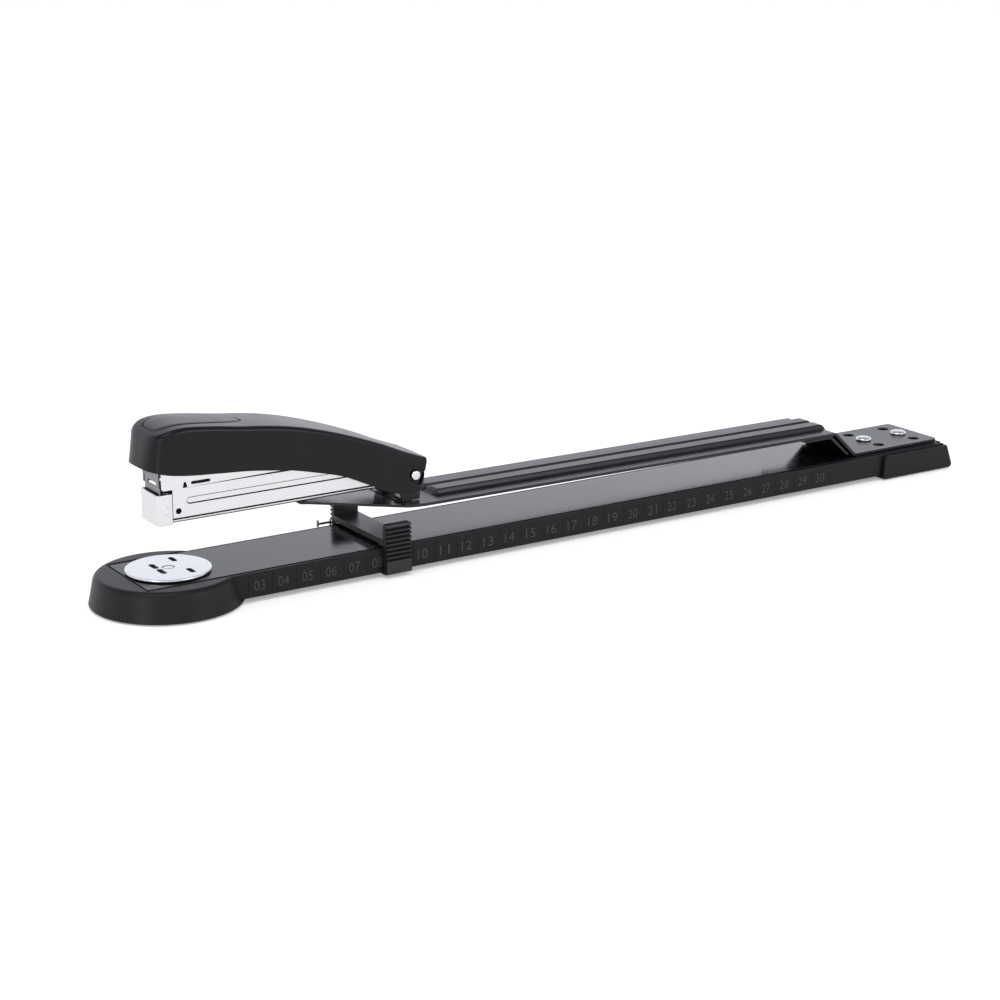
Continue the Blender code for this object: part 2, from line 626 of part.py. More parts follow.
# ---- magazine ----------------------------------------------------------------
def make_magazine():
    a, b = MAG_HALF, MAG_IN
    section = [(a, MAG_Z0), (a, MAG_TOP), (b, MAG_TOP), (b, FLOOR_Z), (-b, FLOOR_Z),
               (-b, MAG_TOP), (-a, MAG_TOP), (-a, MAG_Z0)]
    body = section_prism("magazine_channel", section, CAP_BACK + GAP, PIN_Y + 4.0,
                         mat="nickel")
    rear = [(PIN_Y - 17, MAG_TOP + 4), (PIN_Y - 17, MAG_TOP), (PIN_Y - 6, PIN_Z + 3.6),
            (PIN_Y + 4.4, PIN_Z + 3.4), (PIN_Y + 8, PIN_Z + 3.4), (PIN_Y + 8, MAG_TOP + 4)]
    combine(body, side_prism("cut_mag_rear", rear, -20, 20, kind="cutter"))
    groove_z = MAG_Z0 + 7.7
    outline = slot((5.3 + PIN_Y - 14) / 2, groove_z, PIN_Y - 14 - 5.3, 2.5)
    for i, (x0, x1) in enumerate(((a - 0.35, a + 3), (-a - 3, -a + 0.35))):
        combine(body, side_prism(f"cut_groove_{i}", outline, x0, x1, kind="cutter"))
    combine(body, cylinder("cut_mag_hole", 1.2, (0, 1.9, MAG_Z0 + 4.3), "X", 30, 20,
                           kind="cutter"))
    combine(body, cylinder("cut_mag_pin", PIN_R + GAP, (0, PIN_Y, PIN_Z), "X", 30, 24,
                           kind="cutter"))

    c, inner = CAP_HALF, CAP_HALF - 0.65
    plan = [(-c, CAP_BACK), (-c, CAP_FRONT), (c, CAP_FRONT), (c, CAP_BACK)]
    cap = plan_prism("nose_cap", fillet(plan, (0, 1.1, 1.1, 0), 4), NOSE_Z, CAP_TOP,
                     mat="nickel")
    bevel(cap, 0.25, 2, 60)
    combine(cap, box("cut_cap_inside", -inner, inner, CAP_FRONT + 0.6, 5, NOSE_Z + 0.7,
                     CAP_TOP + 3, kind="cutter"))
    combine(cap, box("cut_cap_exit", -MAG_IN, MAG_IN, STAPLE_Y - 0.65, STAPLE_Y + 0.65,
                     NOSE_Z - 3, NOSE_Z + 3, kind="cutter"))

    r = RAIL_HALF
    rail = [(r, RAIL_Z0), (r, RAIL_TOP), (-r, RAIL_TOP), (-r, RAIL_Z0),
            (-r + THIN, RAIL_Z0), (-r + THIN, RAIL_TOP - THIN), (r - THIN, RAIL_TOP - THIN),
            (r - THIN, RAIL_Z0)]
    core = section_prism("staple_rail", rail, STAPLE_Y + 1.2, RAIL_END,
                         mat="spring_steel")
    tab = box("cut_rail_tab", -r + 0.1, r - 0.1, RAIL_END - 0.8, RAIL_END, RAIL_TOP - 1,
              ROD_Z + 1.5, kind="cutter")
    combine(core, tab, "UNION")
    combine(core, cylinder("cut_tab_rod", 1.3, (0, RAIL_END, ROD_Z), "Y", 6, 16,
                           kind="cutter"))

    s = STAPLE_HALF
    strip = [(s, RAIL_Z0 + 0.7), (s, STAPLE_TOP), (-s, STAPLE_TOP), (-s, RAIL_Z0 + 0.7),
             (-s + 0.5, RAIL_Z0 + 0.7), (-s + 0.5, STAPLE_TOP - 0.5),
             (s - 0.5, STAPLE_TOP - 0.5), (s - 0.5, RAIL_Z0 + 0.7)]
    section_prism("staple_strip", strip, STAPLE_Y + 0.9, STRIP_END, mat="staple_wire")

    top = ROD_Z + 1.9
    q = s - 0.1
    inner = r + GAP
    push = [(q, RAIL_Z0 + 0.7), (q, top), (-q, top), (-q, RAIL_Z0 + 0.7),
            (-inner, RAIL_Z0 + 0.7), (-inner, RAIL_TOP + GAP), (inner, RAIL_TOP + GAP),
            (inner, RAIL_Z0 + 0.7)]
    y0 = STRIP_END + GAP
    pusher = section_prism("pusher", push, y0, y0 + PUSH_LEN, mat="spring_steel")
    combine(pusher, cylinder("cut_pusher_rod", 1.3, (0, y0 + 5, ROD_Z), "Y", 40, 16,
                             kind="cutter"))
    front_pin_y = 2.0
    smooth(cylinder("magazine_cross_pin", 1.0, (0, front_pin_y, ROD_Z), "X",
                    2 * (MAG_IN - GAP), 16, mat="rivet_steel"))
    rod0, rod1 = front_pin_y + 1.0 + GAP, RAIL_END + 2.0
    smooth(cylinder("pusher_rod", 0.9, (0, (rod0 + rod1) / 2, ROD_Z), "Y", rod1 - rod0,
                    16, mat="spring_steel"))
    spring0 = y0 + PUSH_LEN + 0.7
    coil("pusher_spring", (0, spring0, ROD_Z), "Y", 1.7, 0.25,
         RAIL_END - 0.8 - 0.7 - spring0, 12, 10, mat="spring_steel")


# ---- handle ------------------------------------------------------------------
# Side outline of the handle cover: station along the head (1 at the nose, 0 at the
# pin) and height above the hinge pin as a fraction of the nose's height above it.
COVER_TOP_LINE = ((1.053, 0.947), (1.010, 0.984), (0.964, 0.994), (0.909, 0.981),
                  (0.829, 0.953), (0.735, 0.9125), (0.628, 0.872), (0.529, 0.822),
                  (0.419, 0.741), (0.317, 0.644), (0.205, 0.522), (0.104, 0.394),
                  (-0.008, 0.228))
COVER_BOTTOM_LINE = ((0.062, -0.195), (0.216, -0.016), (0.325, 0.141), (0.428, 0.230),
                     (0.55, 0.318), (0.638, 0.355), (0.84, 0.416), (1.03, 0.475))


def cover_point(station, height):
    return (PIN_Y - station * HEAD_LEN, PIN_Z + height * (NOSE_TOP - PIN_Z))


def cover_height(y):
    """Height of the cover's top line above a station."""
    points = [cover_point(*p) for p in COVER_TOP_LINE]
    for (y0, z0), (y1, z1) in zip(points, points[1:]):
        if y <= y1:
            return z0 + (z1 - z0) * (y - y0) / (y1 - y0)
    return points[-1][1]


def nose_inside():
    """Half outline of the room inside the cover's nose."""
    y, half = PIN_Y - 1.115 * HEAD_LEN + COVER_WALL, COVER_HALF - COVER_WALL
    return [(0, y), (0.47 * half, y + 1.2), (0.756 * half, y + 3.4), (half, y + 9.0)]


def frame_front():
    """Front end of the handle's frame: as far forward as the nose leaves room for."""
    (x0, y0), (x1, y1) = nose_inside()[2:]
    return max(-4.9, y0 + (y1 - y0) * (FRAME_HALF + 2 * GAP - x0) / (x1 - x0))


def make_cover():
    top = [cover_point(*p) for p in COVER_TOP_LINE]
    bottom = [cover_point(*p) for p in COVER_BOTTOM_LINE]
    rear = [(PIN_Y + 4.9, PIN_Z + 4.3), (PIN_Y + 2.4, PIN_Z - 4.6),
            (PIN_Y - 2.6, PIN_Z - 7.2)]
    front = [cover_point(1.115, 0.528), cover_point(1.100, 0.86)]
    points = front + top + rear + bottom
    radii = [1.5, 4.0] + [3.0] + [6.0] * (len(top) - 1) + [2.0, 3.0, 4.0]
    radii += [6.0] * len(bottom)
    outline = fillet(points, radii, 3)
    half = COVER_HALF
    cover = side_prism("handle_cover", outline, -half - 2, half + 2, mat="cover_plastic")
    nose_y = PIN_Y - 1.115 * HEAD_LEN
    plan = mirrored([(0, nose_y - 0.2), (3.4, nose_y), (6.8, nose_y + 0.9),
                     (9.6, nose_y + 2.5), (11.8, nose_y + 4.9), (13.0, nose_y + 7.6),
                     (half, nose_y + 11.0), (half, PIN_Y + 8)][:])
    combine(cover, plan_prism("cut_cover_plan", plan, 0, 110, kind="cutter"),
            "INTERSECT")
    bevel(cover, 1.3, 3, 38)

    wall = COVER_WALL
    inner_top = [(y, z - wall) for y, z in top if y > nose_y + 2 * wall]
    cavity = ([(nose_y + wall + 1.2, 0), (nose_y + wall + 1.2, top[1][1] - wall - 1.5)] +
              inner_top[1:-1] + [(PIN_Y + 12, PIN_Z + 4.9), (PIN_Y + 12, 0)])
    inside = side_prism("cut_cover_inside", cavity, -half - 2, half + 2, kind="cutter")
    inset = mirrored(nose_inside() + [(half - wall, PIN_Y + 20)])
    combine(inside, plan_prism("cut_cover_inset", inset, -5, 110, kind="cutter"),
            "INTERSECT")
    combine(cover, inside)
    combine(cover, cylinder("cut_cover_pin", PIN_R + GAP, (0, PIN_Y, PIN_Z), "X", 60,
                            32, kind="cutter"))
    for i, sign in enumerate((-1, 1)):
        combine(cover, cylinder(f"cut_cover_dish_{i}", 4.0,
                                (sign * (half + 1.2), PIN_Y, PIN_Z), "X", 4, 32,
                                kind="cutter"))
    combine(cover, pad_solid("cut_pad_seat", GAP, 0.9, "cutter"))
    pad = pad_solid("handle_pad", 0.0, 0.6, "part")


def pad_solid(name, grow, depth, kind):
    """Pointed oval pad that follows the cover's sloping top."""
    y0, y1, half = -5.4 - grow, 30.4 + grow, 7.6 + grow
    plan = []
    for k in range(13):
        u = k / 12
        y = y0 + (y1 - y0) * (1 - math.cos(math.pi * u)) / 2
        w = half * math.sin(math.pi * u ** 0.62) ** 0.62 if 0 < k < 12 else 0.0
        plan.append((w, y))
    outline = plan + [(-w, y) for w, y in reversed(plan[1:-1])]
    body = plan_prism(name, outline, 40, 110, kind=kind, mat="pad_plastic")
    rows = [y0 - 1, -1.0, 3.5, 9.0, 17.0, 25.0, y1 + 1]
    lift = 0.35 if kind == "part" else 3.0
    upper = [(y, cover_height(y) + lift) for y in rows]
    lower = [(y, cover_height(y) - depth) for y in reversed(rows)]
    slab = side_prism(name + "_slab" if kind == "cutter" else "cut_pad_slab",
                      upper + lower, -20, 20, kind="cutter")
    return combine(body, slab, "INTERSECT")


def make_frame():
    """Steel frame inside the handle: two walls and a web, bent from one sheet."""
    front, web_end = frame_front(), 0.406 * HEAD_LEN
    web_z = cover_height(web_end) - COVER_WALL - 1.7
    low_front, low_mid = MAG_TOP + 0.3, MAG_TOP + 1.1
    back = [(y, cover_height(y) - COVER_WALL - 1.0) for y in
            (PIN_Y - 20, PIN_Y - 0.317 * HEAD_LEN, PIN_Y - 0.42 * HEAD_LEN)]
    drop = back[0][1]
    side = [(front, low_front), (0.426 * HEAD_LEN, low_mid),
            (0.589 * HEAD_LEN, low_mid + 0.3), (PIN_Y - 14, PIN_Z + 1.0),
            (PIN_Y - 4.4, PIN_Z - 3.0), (PIN_Y, PIN_Z - 4.3), (PIN_Y + 3.2, PIN_Z - 2.6),
            (PIN_Y + 4.0, PIN_Z), (PIN_Y + 2.6, PIN_Z + 3.4), (PIN_Y - 4, PIN_Z + 5.6)]
    side += back + [(web_end, web_z), (front, web_z)]
    side = fillet(side, (0.8, 4, 4, 3, 2, 2, 1.5, 1.5, 1.5, 2, 4, 4, 4, 4, 1.5), 3)
    frame = side_prism("handle_frame", side, -FRAME_HALF, FRAME_HALF, mat="nickel")
    inner = [(-12, 20), (PIN_Y + 12, 20), (PIN_Y + 12, PIN_Z + 7.0),
             (PIN_Y - 4, PIN_Z + 5.6 - THIN)]
    inner += [(y, z - THIN) for y, z in back]
    inner += [(web_end, web_z - THIN), (-12, web_z - THIN)]
    combine(frame, side_prism("cut_frame_inside", inner, -FRAME_IN, FRAME_IN,
                              kind="cutter"))
    combine(frame, side_prism("cut_frame_slot", slot(10.5, MAG_TOP + 1.9, 7.8, 1.2), -20,
                              20, kind="cutter"))
    notch = [(3.0, MAG_TOP - 1), (5.6, MAG_TOP - 1), (4.6, MAG_TOP + 2.6),
             (3.8, MAG_TOP + 2.6)]
    combine(frame, side_prism("cut_frame_notch", notch, -20, 20, kind="cutter"))
    combine(frame, cylinder("cut_frame_pin", PIN_R + GAP, (0, PIN_Y, PIN_Z), "X", 30, 24,
                            kind="cutter"))

    y0, y1 = STAPLE_Y - 0.25, STAPLE_Y + 0.25
    tip = STAPLE_TOP + 0.5
    web = web_z - THIN - GAP
    blade_side = [(y0, tip), (y1, tip), (y1, web - 1.0), (y1 + 9.0, web - 1.0),
                  (y1 + 9.0, web), (y0, web)]
    blade = side_prism("driver_blade", blade_side, -6.0, 6.0, mat="spring_steel")
    combine(blade, box("cut_blade_window", -3.6, 3.6, -9, STAPLE_Y + 1, MAG_TOP + 1.2,
                       MAG_TOP + 2.6, kind="cutter"))

    leaf = [(PIN_Y - 24, drop - 4.6), (52, MAG_TOP + 5.4), (38, MAG_TOP + 1.4),
            (30, MAG_TOP + 0.9), (27, MAG_TOP + 1.6)]
    leaf = leaf + [(y, z + 0.5) for y, z in reversed(leaf)]
    side_prism("return_spring", leaf, -3.0, 3.0, mat="spring_steel")


def make_pin():
    half = COVER_HALF
    r = PIN_R
    profile = [(0, half + 0.3), (2.0, half + 0.1), (2.4, half - 0.3), (2.4, half - 0.5),
               (r, half - 0.5), (r, -half + 0.5), (2.4, -half + 0.5), (2.4, -half + 0.3),
               (2.0, -half - 0.1), (0, -half - 0.3)]
    smooth(turned("hinge_pin", profile, (0, PIN_Y, PIN_Z), axis="X", steps=32,
                  mat="rivet_steel"))


# Moving groups: joint name -> (point on its axis, parent joint, nodes that move).
def joint_groups():
    return {
        "anvil_lift": ((0, 0, DISC_Z0), None, ("anvil_post",)),
        "anvil_turn": ((0, 0, DISC_Z0), "anvil_lift", ("anvil_disc",)),
        "guide_slide": ((0, GUIDE_Y, BAR_TOP), None,
                        ("guide_slider", "guide_spring", "guide_pointer")),
        "tongue_flex": ((0, BEND_Y, ARM_Z_FRONT + 0.5), None, ("lift_tongue",)),
        "magazine_hinge": ((0, PIN_Y, PIN_Z), None,
                           ("magazine_channel", "nose_cap", "staple_rail", "pusher_rod",
                            "staple_strip", "magazine_cross_pin", "pusher_spring")),
        "pusher_slide": ((0, STRIP_END, ROD_Z), "magazine_hinge", ("pusher",)),
        "handle_hinge": ((0, PIN_Y, PIN_Z), "magazine_hinge",
                         ("handle_cover", "handle_pad", "handle_frame", "driver_blade",
                          "return_spring")),
    }


def hang_on_joints():
    """Give each moving group an empty on its joint's axis."""
    empties = {}
    for name, (point, parent, nodes) in joint_groups().items():
        empty = bpy.data.objects.new(name, None)
        empty.empty_display_size = 0.02
        PARTS.objects.link(empty)
        empty.matrix_world = Matrix.Translation([c * MM for c in point])
        bpy.context.view_layer.update()
        if parent:
            hang(empty, empties[parent])
        empties[name] = empty
        for node in nodes:
            hang(bpy.data.objects[node], empty)


def hang(child, parent):
    child.parent = parent
    child.matrix_parent_inverse = parent.matrix_world.inverted()
    bpy.context.view_layer.update()


def centre_on_footprint():
    shift = Matrix.Translation((0.0, -MIDDLE_Y * MM, 0.0))
    for obj in bpy.data.objects:
        if obj.parent is None:
            obj.matrix_world = shift @ obj.matrix_world
    bpy.context.view_layer.update()


clear_scene()
PARTS = collection("long_reach_stapler")
CUTTERS = collection("cutters")
make_base()
make_feet()
make_anvil()
make_guide()
make_arm()
make_tongue()
make_bracket()
make_magazine()
make_cover()
make_frame()
make_pin()
hang_on_joints()
centre_on_footprint()
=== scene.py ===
"""Long reach stapler: looks for the packed frame, laid out as an add-on."""

import math

import bmesh
import bpy
from bpy.props import FloatProperty, FloatVectorProperty, IntProperty, PointerProperty
from mathutils import Matrix, Vector


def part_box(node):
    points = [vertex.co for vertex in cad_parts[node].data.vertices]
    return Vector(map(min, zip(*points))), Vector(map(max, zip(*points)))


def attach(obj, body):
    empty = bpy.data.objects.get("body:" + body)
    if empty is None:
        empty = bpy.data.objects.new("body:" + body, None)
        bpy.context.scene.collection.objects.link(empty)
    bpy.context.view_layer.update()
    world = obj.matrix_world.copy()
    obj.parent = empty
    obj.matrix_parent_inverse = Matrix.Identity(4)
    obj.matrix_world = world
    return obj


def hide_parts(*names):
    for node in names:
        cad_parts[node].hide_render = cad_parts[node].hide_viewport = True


bl_info = {
    "name": "Long Reach Stapler",
    "version": (1, 0, 0),
    "blender": (4, 5, 0),
    "location": "3D View > Sidebar > Stapler",
    "description": "Builds the visible pieces and finishes of a long reach stapler",
    "category": "Object",
}

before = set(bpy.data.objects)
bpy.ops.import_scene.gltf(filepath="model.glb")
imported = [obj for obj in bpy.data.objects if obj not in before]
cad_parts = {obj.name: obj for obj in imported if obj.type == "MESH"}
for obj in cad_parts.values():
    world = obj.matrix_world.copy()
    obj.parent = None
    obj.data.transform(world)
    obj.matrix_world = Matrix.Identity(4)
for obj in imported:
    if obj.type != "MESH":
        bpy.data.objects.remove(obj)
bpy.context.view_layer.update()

MM = 0.001
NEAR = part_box("anvil_disc")
CENTRE_Y = (NEAR[0].y + NEAR[1].y) / 2      # the anvil's axis, in the frame

# Millimetres from here on, as in span().
GAP = 0.3               # seating room beside a neighbour
ARM_SHEET = 1.2         # thickness of the arm
BRIGHT_SHEET = 0.7      # thickness of the magazine's and handle frame's steel
COVER_WALL = 1.6        # wall of the handle cover
PIN_BORE = 2.2          # radius of the holes around the hinge pin
UNDER_CHANNEL = 1.7     # height that clears the channel's lower edge
PAD_POCKET = 1.1        # depth of the pockets for the rubber pads
CELL = 10.0             # pitch of the ruler
FIRST_CELL = 27.5       # middle of the first number, behind the anvil's axis
ROOT = 0.15             # how deep raised marks are set into their face
ACROSS = 20.0           # half-length of a cutter that goes from side to side


def span(node):
    """A node's extent in millimetres, with Y measured from the anvil's axis."""
    lo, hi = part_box(node)
    return (lo.x / MM, hi.x / MM, (lo.y - CENTRE_Y) / MM, (hi.y - CENTRE_Y) / MM,
            lo.z / MM, hi.z / MM)


# ---- user settings ------------------------------------------------------------
class StaplerSizes(bpy.types.PropertyGroup):
    """Small visible sizes that don't change what the pieces fit to."""

    cover_edge: FloatProperty(
        name="Cover edge radius",
        description="Rounding between the handle's top and sides",
        default=0.0018, min=0.0014, max=0.004, subtype="DISTANCE", unit="LENGTH")
    sheet_edge: FloatProperty(
        name="Sheet edge radius", description="Rounding along the edges of painted sheet",
        default=0.00022, min=0.00005, max=0.0005, subtype="DISTANCE", unit="LENGTH")
    bead_rise: FloatProperty(
        name="Arm bead height", description="How far the arm's two beads stand up",
        default=0.0020, min=0.0005, max=0.0022, subtype="DISTANCE", unit="LENGTH")
    number_height: FloatProperty(
        name="Ruler number height", description="Height of the raised ruler numbers",
        default=0.0038, min=0.002, max=0.006, subtype="DISTANCE", unit="LENGTH")
    number_relief: FloatProperty(
        name="Ruler relief", description="How far numbers and marks stand off the side",
        default=0.00017, min=0.00005, max=0.00025, subtype="DISTANCE", unit="LENGTH")
    first_number: IntProperty(
        name="First number", description="Ruler number nearest the anvil, in centimetres",
        default=3, min=0, max=50)
    number_count: IntProperty(
        name="Number count", description="How many ruler cells there are",
        default=28, min=1, max=28)
    grip_ribs: IntProperty(
        name="Grip ribs", description="Horizontal ribs on each grip of the paper guide",
        default=8, min=3, max=12)


def colour(name, description, default):
    return FloatVectorProperty(name=name, description=description, default=default,
                               subtype="COLOR", size=3, min=0.0, max=1.0)


class StaplerFinishes(bpy.types.PropertyGroup):
    """Base colours of the finishes."""

    cover: colour("Cover", "Satin black plastic of the handle", (0.0030, 0.0030, 0.0042))
    pad: colour("Thumb pad", "Textured inlay on the handle", (0.0075, 0.0075, 0.0090))
    paint: colour("Paint", "Gloss black paint on plate and arm", (0.0045, 0.0045, 0.0065))
    ruler: colour("Ruler", "Black plastic of the ruled channel", (0.0050, 0.0050, 0.0060))
    # The lighter figures colour is a painted highlight on the raised figures.
    figures: colour("Ruler figures", "Raised figures lightened as painted highlight", (0.026, 0.026, 0.028))
    guide: colour("Guide", "Black plastic of the paper guide", (0.0085, 0.0085, 0.0098))
    foot: colour("Feet", "Black plastic of the feet", (0.0050, 0.0050, 0.0060))
    rubber: colour("Rubber", "Pads under the feet", (0.020, 0.020, 0.021))
    plating: colour("Plating", "Nickel on magazine, nose and disc", (0.86, 0.865, 0.87))
    rivet: colour("Rivets", "Polished rivet heads and hinge pin", (0.80, 0.805, 0.82))
    spring: colour("Spring steel", "Springs, rail and driver", (0.56, 0.57, 0.59))
    wire: colour("Staple wire", "Staples in the magazine", (0.70, 0.71, 0.73))
    floor: colour("Floor", "Studio floor", (0.80, 0.80, 0.805))


def sizes():
    return bpy.context.scene.stapler_sizes


def finishes():
    return bpy.context.scene.stapler_finishes


# ---- mesh tools ---------------------------------------------------------------
def add_object(name, mesh):
    obj = bpy.data.objects.new(name, mesh)
    bpy.context.scene.collection.objects.link(obj)
    return obj


def from_bmesh(name, bm, tidy_normals=True):
    if tidy_normals:
        bmesh.ops.recalc_face_normals(bm, faces=bm.faces)
    mesh = bpy.data.meshes.new(name)
    bm.to_mesh(mesh)
    bm.free()
    return add_object(name, mesh)


def prism(name, plane, outline, lo, hi):
    """Extrude an outline: side is (y, z) along X, plan (x, y) along Z and cross
    (x, z) along Y."""
    spot = {"side": lambda u, v, w: (w, u, v), "plan": lambda u, v, w: (u, v, w),
            "cross": lambda u, v, w: (u, w, v)}[plane]
    bm = bmesh.new()
    low = [bm.verts.new(spot(u, v, lo)) for u, v in outline]
    high = [bm.verts.new(spot(u, v, hi)) for u, v in outline]
    bm.faces.new(low)
    bm.faces.new(high)
    for k in range(len(outline)):
        n = (k + 1) % len(outline)
        bm.faces.new((low[k], low[n], high[n], high[k]))
    return from_bmesh(name, bm)


def rings_solid(name, rings):
    """Skin closed rings of equal length and cap both ends."""
    bm = bmesh.new()
    loops = [[bm.verts.new(p) for p in ring] for ring in rings]
    for a, b in zip(loops, loops[1:]):
        for k in range(len(a)):
            n = (k + 1) % len(a)
            bm.faces.new((a[k], a[n], b[n], b[k]))
    bm.faces.new(loops[0])
    bm.faces.new(loops[-1])
    return from_bmesh(name, bm)


def sheet_grid(name, rows, up=None):
    """Open surface over rows of points; up is the way its faces look on the whole."""
    bm = bmesh.new()
    lines = [[bm.verts.new(p) for p in row] for row in rows]
    for a, b in zip(lines, lines[1:]):
        for k in range(len(a) - 1):
            bm.faces.new((a[k], a[k + 1], b[k + 1], b[k]))
    bmesh.ops.remove_doubles(bm, verts=bm.verts, dist=0.001)
    bm.normal_update()
    if up is not None and sum(f.normal.dot(up) * f.calc_area() for f in bm.faces) < 0:
        bmesh.ops.reverse_faces(bm, faces=bm.faces)
    return from_bmesh(name, bm, tidy_normals=False)


def lathe(name, profile, centre, axis="Z", steps=96):
    """Turn (radius, height) points around an axis through centre."""
    bm = bmesh.new()
    rings = []
    for radius, height in profile:
        ring = []
        for k in range(steps if radius > 1e-6 else 1):
            a = 2 * math.pi * k / steps
            u, v = radius * math.cos(a), radius * math.sin(a)
            p = {"Z": (u, v, height), "X": (height, u, v), "Y": (u, height, v)}[axis]
            ring.append(bm.verts.new([c + q for c, q in zip(centre, p)]))
        rings.append(ring)
    for a, b in zip(rings, rings[1:]):
        for k in range(steps):
            n = (k + 1) % steps
            corners = [a[k % len(a)], a[n % len(a)], b[n % len(b)], b[k % len(b)]]
            loop = [c for i, c in enumerate(corners) if c not in corners[:i]]
            if len(loop) > 2:
                bm.faces.new(loop)
    return from_bmesh(name, bm)


def bake(obj):
    """Apply the modifiers."""
    graph = bpy.context.evaluated_depsgraph_get()
    mesh = bpy.data.meshes.new_from_object(obj.evaluated_get(graph))
    old = obj.data
    obj.modifiers.clear()
    obj.data = mesh
    bpy.data.meshes.remove(old)
    return obj


def carve(obj, *tools, operation="DIFFERENCE"):
    for tool in tools:
        mod = obj.modifiers.new("carve", "BOOLEAN")
        mod.operation = operation
        mod.solver = "EXACT"
        mod.object = tool
        bake(obj)
        mesh = tool.data
        bpy.data.objects.remove(tool)
        bpy.data.meshes.remove(mesh)
    return obj


def rect(u0, u1, v0, v1):
    return [(u0, v0), (u1, v0), (u1, v1), (u0, v1)]


def cutter(plane, outline, lo=-ACROSS, hi=ACROSS):
    return prism("tool", plane, outline, lo, hi)


def drill(radius, lo, hi, centre, axis="Z", steps=40):
    """Round cutter from lo to hi along an axis through centre."""
    profile = [(0, lo), (radius, lo), (radius, hi), (0, hi)]
    return lathe("tool", profile, centre, axis, steps)


def stadium(spot, centre, size, steps, count=10):
    """Stadium-shaped cutter: steps are (out, growth) pairs and spot places (u, v, out)."""
    length, width = size
    return rings_solid("tool", [
        [spot(u, v, out) for u, v in capsule(*centre, length + grow, width + grow, count)]
        for out, grow in steps])


def round_edges(obj, width, segments=2, angle=40.0):
    mod = obj.modifiers.new("round", "BEVEL")
    mod.width = width
    mod.segments = segments
    mod.limit_method = "ANGLE"
    mod.angle_limit = math.radians(angle)
    mod.use_clamp_overlap = True
    mod.miter_outer = "MITER_ARC"
    return bake(obj)


def thicken(obj, amount):
    mod = obj.modifiers.new("wall", "SOLIDIFY")
    mod.thickness = amount
    mod.offset = -1.0
    mod.use_even_offset = True
    return bake(obj)


def settle(obj, body, finish, nodes=(), sharp=38.0):
    """Bring a finished piece into the frame, on its body, in its finish."""
    mesh = obj.data
    mesh.transform(Matrix.Translation((0, CENTRE_Y, 0)) @ Matrix.Scale(MM, 4))
    for poly in mesh.polygons:
        poly.use_smooth = True
    mesh.set_sharp_from_angle(angle=math.radians(sharp))
    mod = obj.modifiers.new("shading", "WEIGHTED_NORMAL")
    mod.keep_sharp = True
    bake(obj)
    if not obj.data.materials:
        obj.data.materials.append(finish)
    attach(obj, body)
    if nodes:
        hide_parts(*nodes)
    return obj


def fillet(points, radii, arc=8):
    """Round an outline's corners; radii holds one radius per corner."""
    result = []
    count = len(points)
    for i, ((x, y), radius) in enumerate(zip(points, radii)):
        if radius <= 0:
            result.append((x, y))
            continue
        before, after = Vector(points[i - 1]), Vector(points[(i + 1) % count])
        here = Vector((x, y))
        u, v = before - here, after - here
        half = u.angle(v) / 2
        reach = min(radius / math.tan(half), 0.48 * min(u.length, v.length))
        bend = reach * math.tan(half)
        u.normalize()
        v.normalize()
        middle = here + (u + v).normalized() * (bend / math.sin(half))
        a, b = here + u * reach - middle, here + v * reach - middle
        a0 = math.atan2(a.y, a.x)
        sweep = (math.atan2(b.y, b.x) - a0 + math.pi) % (2 * math.pi) - math.pi
        for k in range(arc + 1):
            t = a0 + sweep * k / arc
            result.append((middle.x + bend * math.cos(t), middle.y + bend * math.sin(t)))
    return result


def mirrored(half):
    return half + [(-x, y) for x, y in reversed(half)]


def capsule(cy, cz, length, width, count=10):
    """Stadium outline with its long side along the first axis."""
    r, s = width / 2, (length - width) / 2
    points = []
    for side, turn in ((1, 0.0), (-1, math.pi)):
        for k in range(count + 1):
            a = -math.pi / 2 + math.pi * k / count + turn
            points.append((cy + side * s + r * math.cos(a), cz + r * math.sin(a)))
    return points


def smooth_line(points, value):
    """Height of a smooth curve through (station, height) points."""
    if value <= points[0][0]:
        return points[0][1]
    if value >= points[-1][0]:
        return points[-1][1]
    i = max(k for k in range(len(points) - 1) if points[k][0] <= value)
    (x0, y0), (x1, y1) = points[i], points[i + 1]

    def slope(k):
        a, b = points[max(k - 1, 0)], points[min(k + 1, len(points) - 1)]
        return (b[1] - a[1]) / (b[0] - a[0])

    h = x1 - x0
    t = (value - x0) / h
    m0, m1 = slope(i) * h, slope(i + 1) * h
    return ((2 * t**3 - 3 * t**2 + 1) * y0 + (t**3 - 2 * t**2 + t) * m0 +
            (3 * t**2 - 2 * t**3) * y1 + (t**3 - t**2) * m1)


def ease(t):
    t = max(0.0, min(1.0, t))
    return t * t * (3 - 2 * t)


# ---- node groups --------------------------------------------------------------
def new_group(name, inputs, outputs):
    """Shader group with float inputs (name, default) and named outputs."""
    tree = bpy.data.node_groups.new(name, "ShaderNodeTree")
    for label, default in inputs:
        socket = tree.interface.new_socket(name=label, in_out="INPUT",
                                           socket_type="NodeSocketFloat")
        socket.default_value = default
    for label in outputs:
        tree.interface.new_socket(name=label, in_out="OUTPUT",
                                  socket_type="NodeSocketFloat")
    return tree, tree.nodes.new("NodeGroupInput"), tree.nodes.new("NodeGroupOutput")


def noise(tree, vector, scale, detail=3.0, roughness=0.55):
    node = tree.nodes.new("ShaderNodeTexNoise")
    node.inputs["Detail"].default_value = detail
    node.inputs["Roughness"].default_value = roughness
    tree.links.new(vector, node.inputs["Vector"])
    if isinstance(scale, (int, float)):
        node.inputs["Scale"].default_value = scale
    else:
        tree.links.new(scale, node.inputs["Scale"])
    return node.outputs["Fac"]


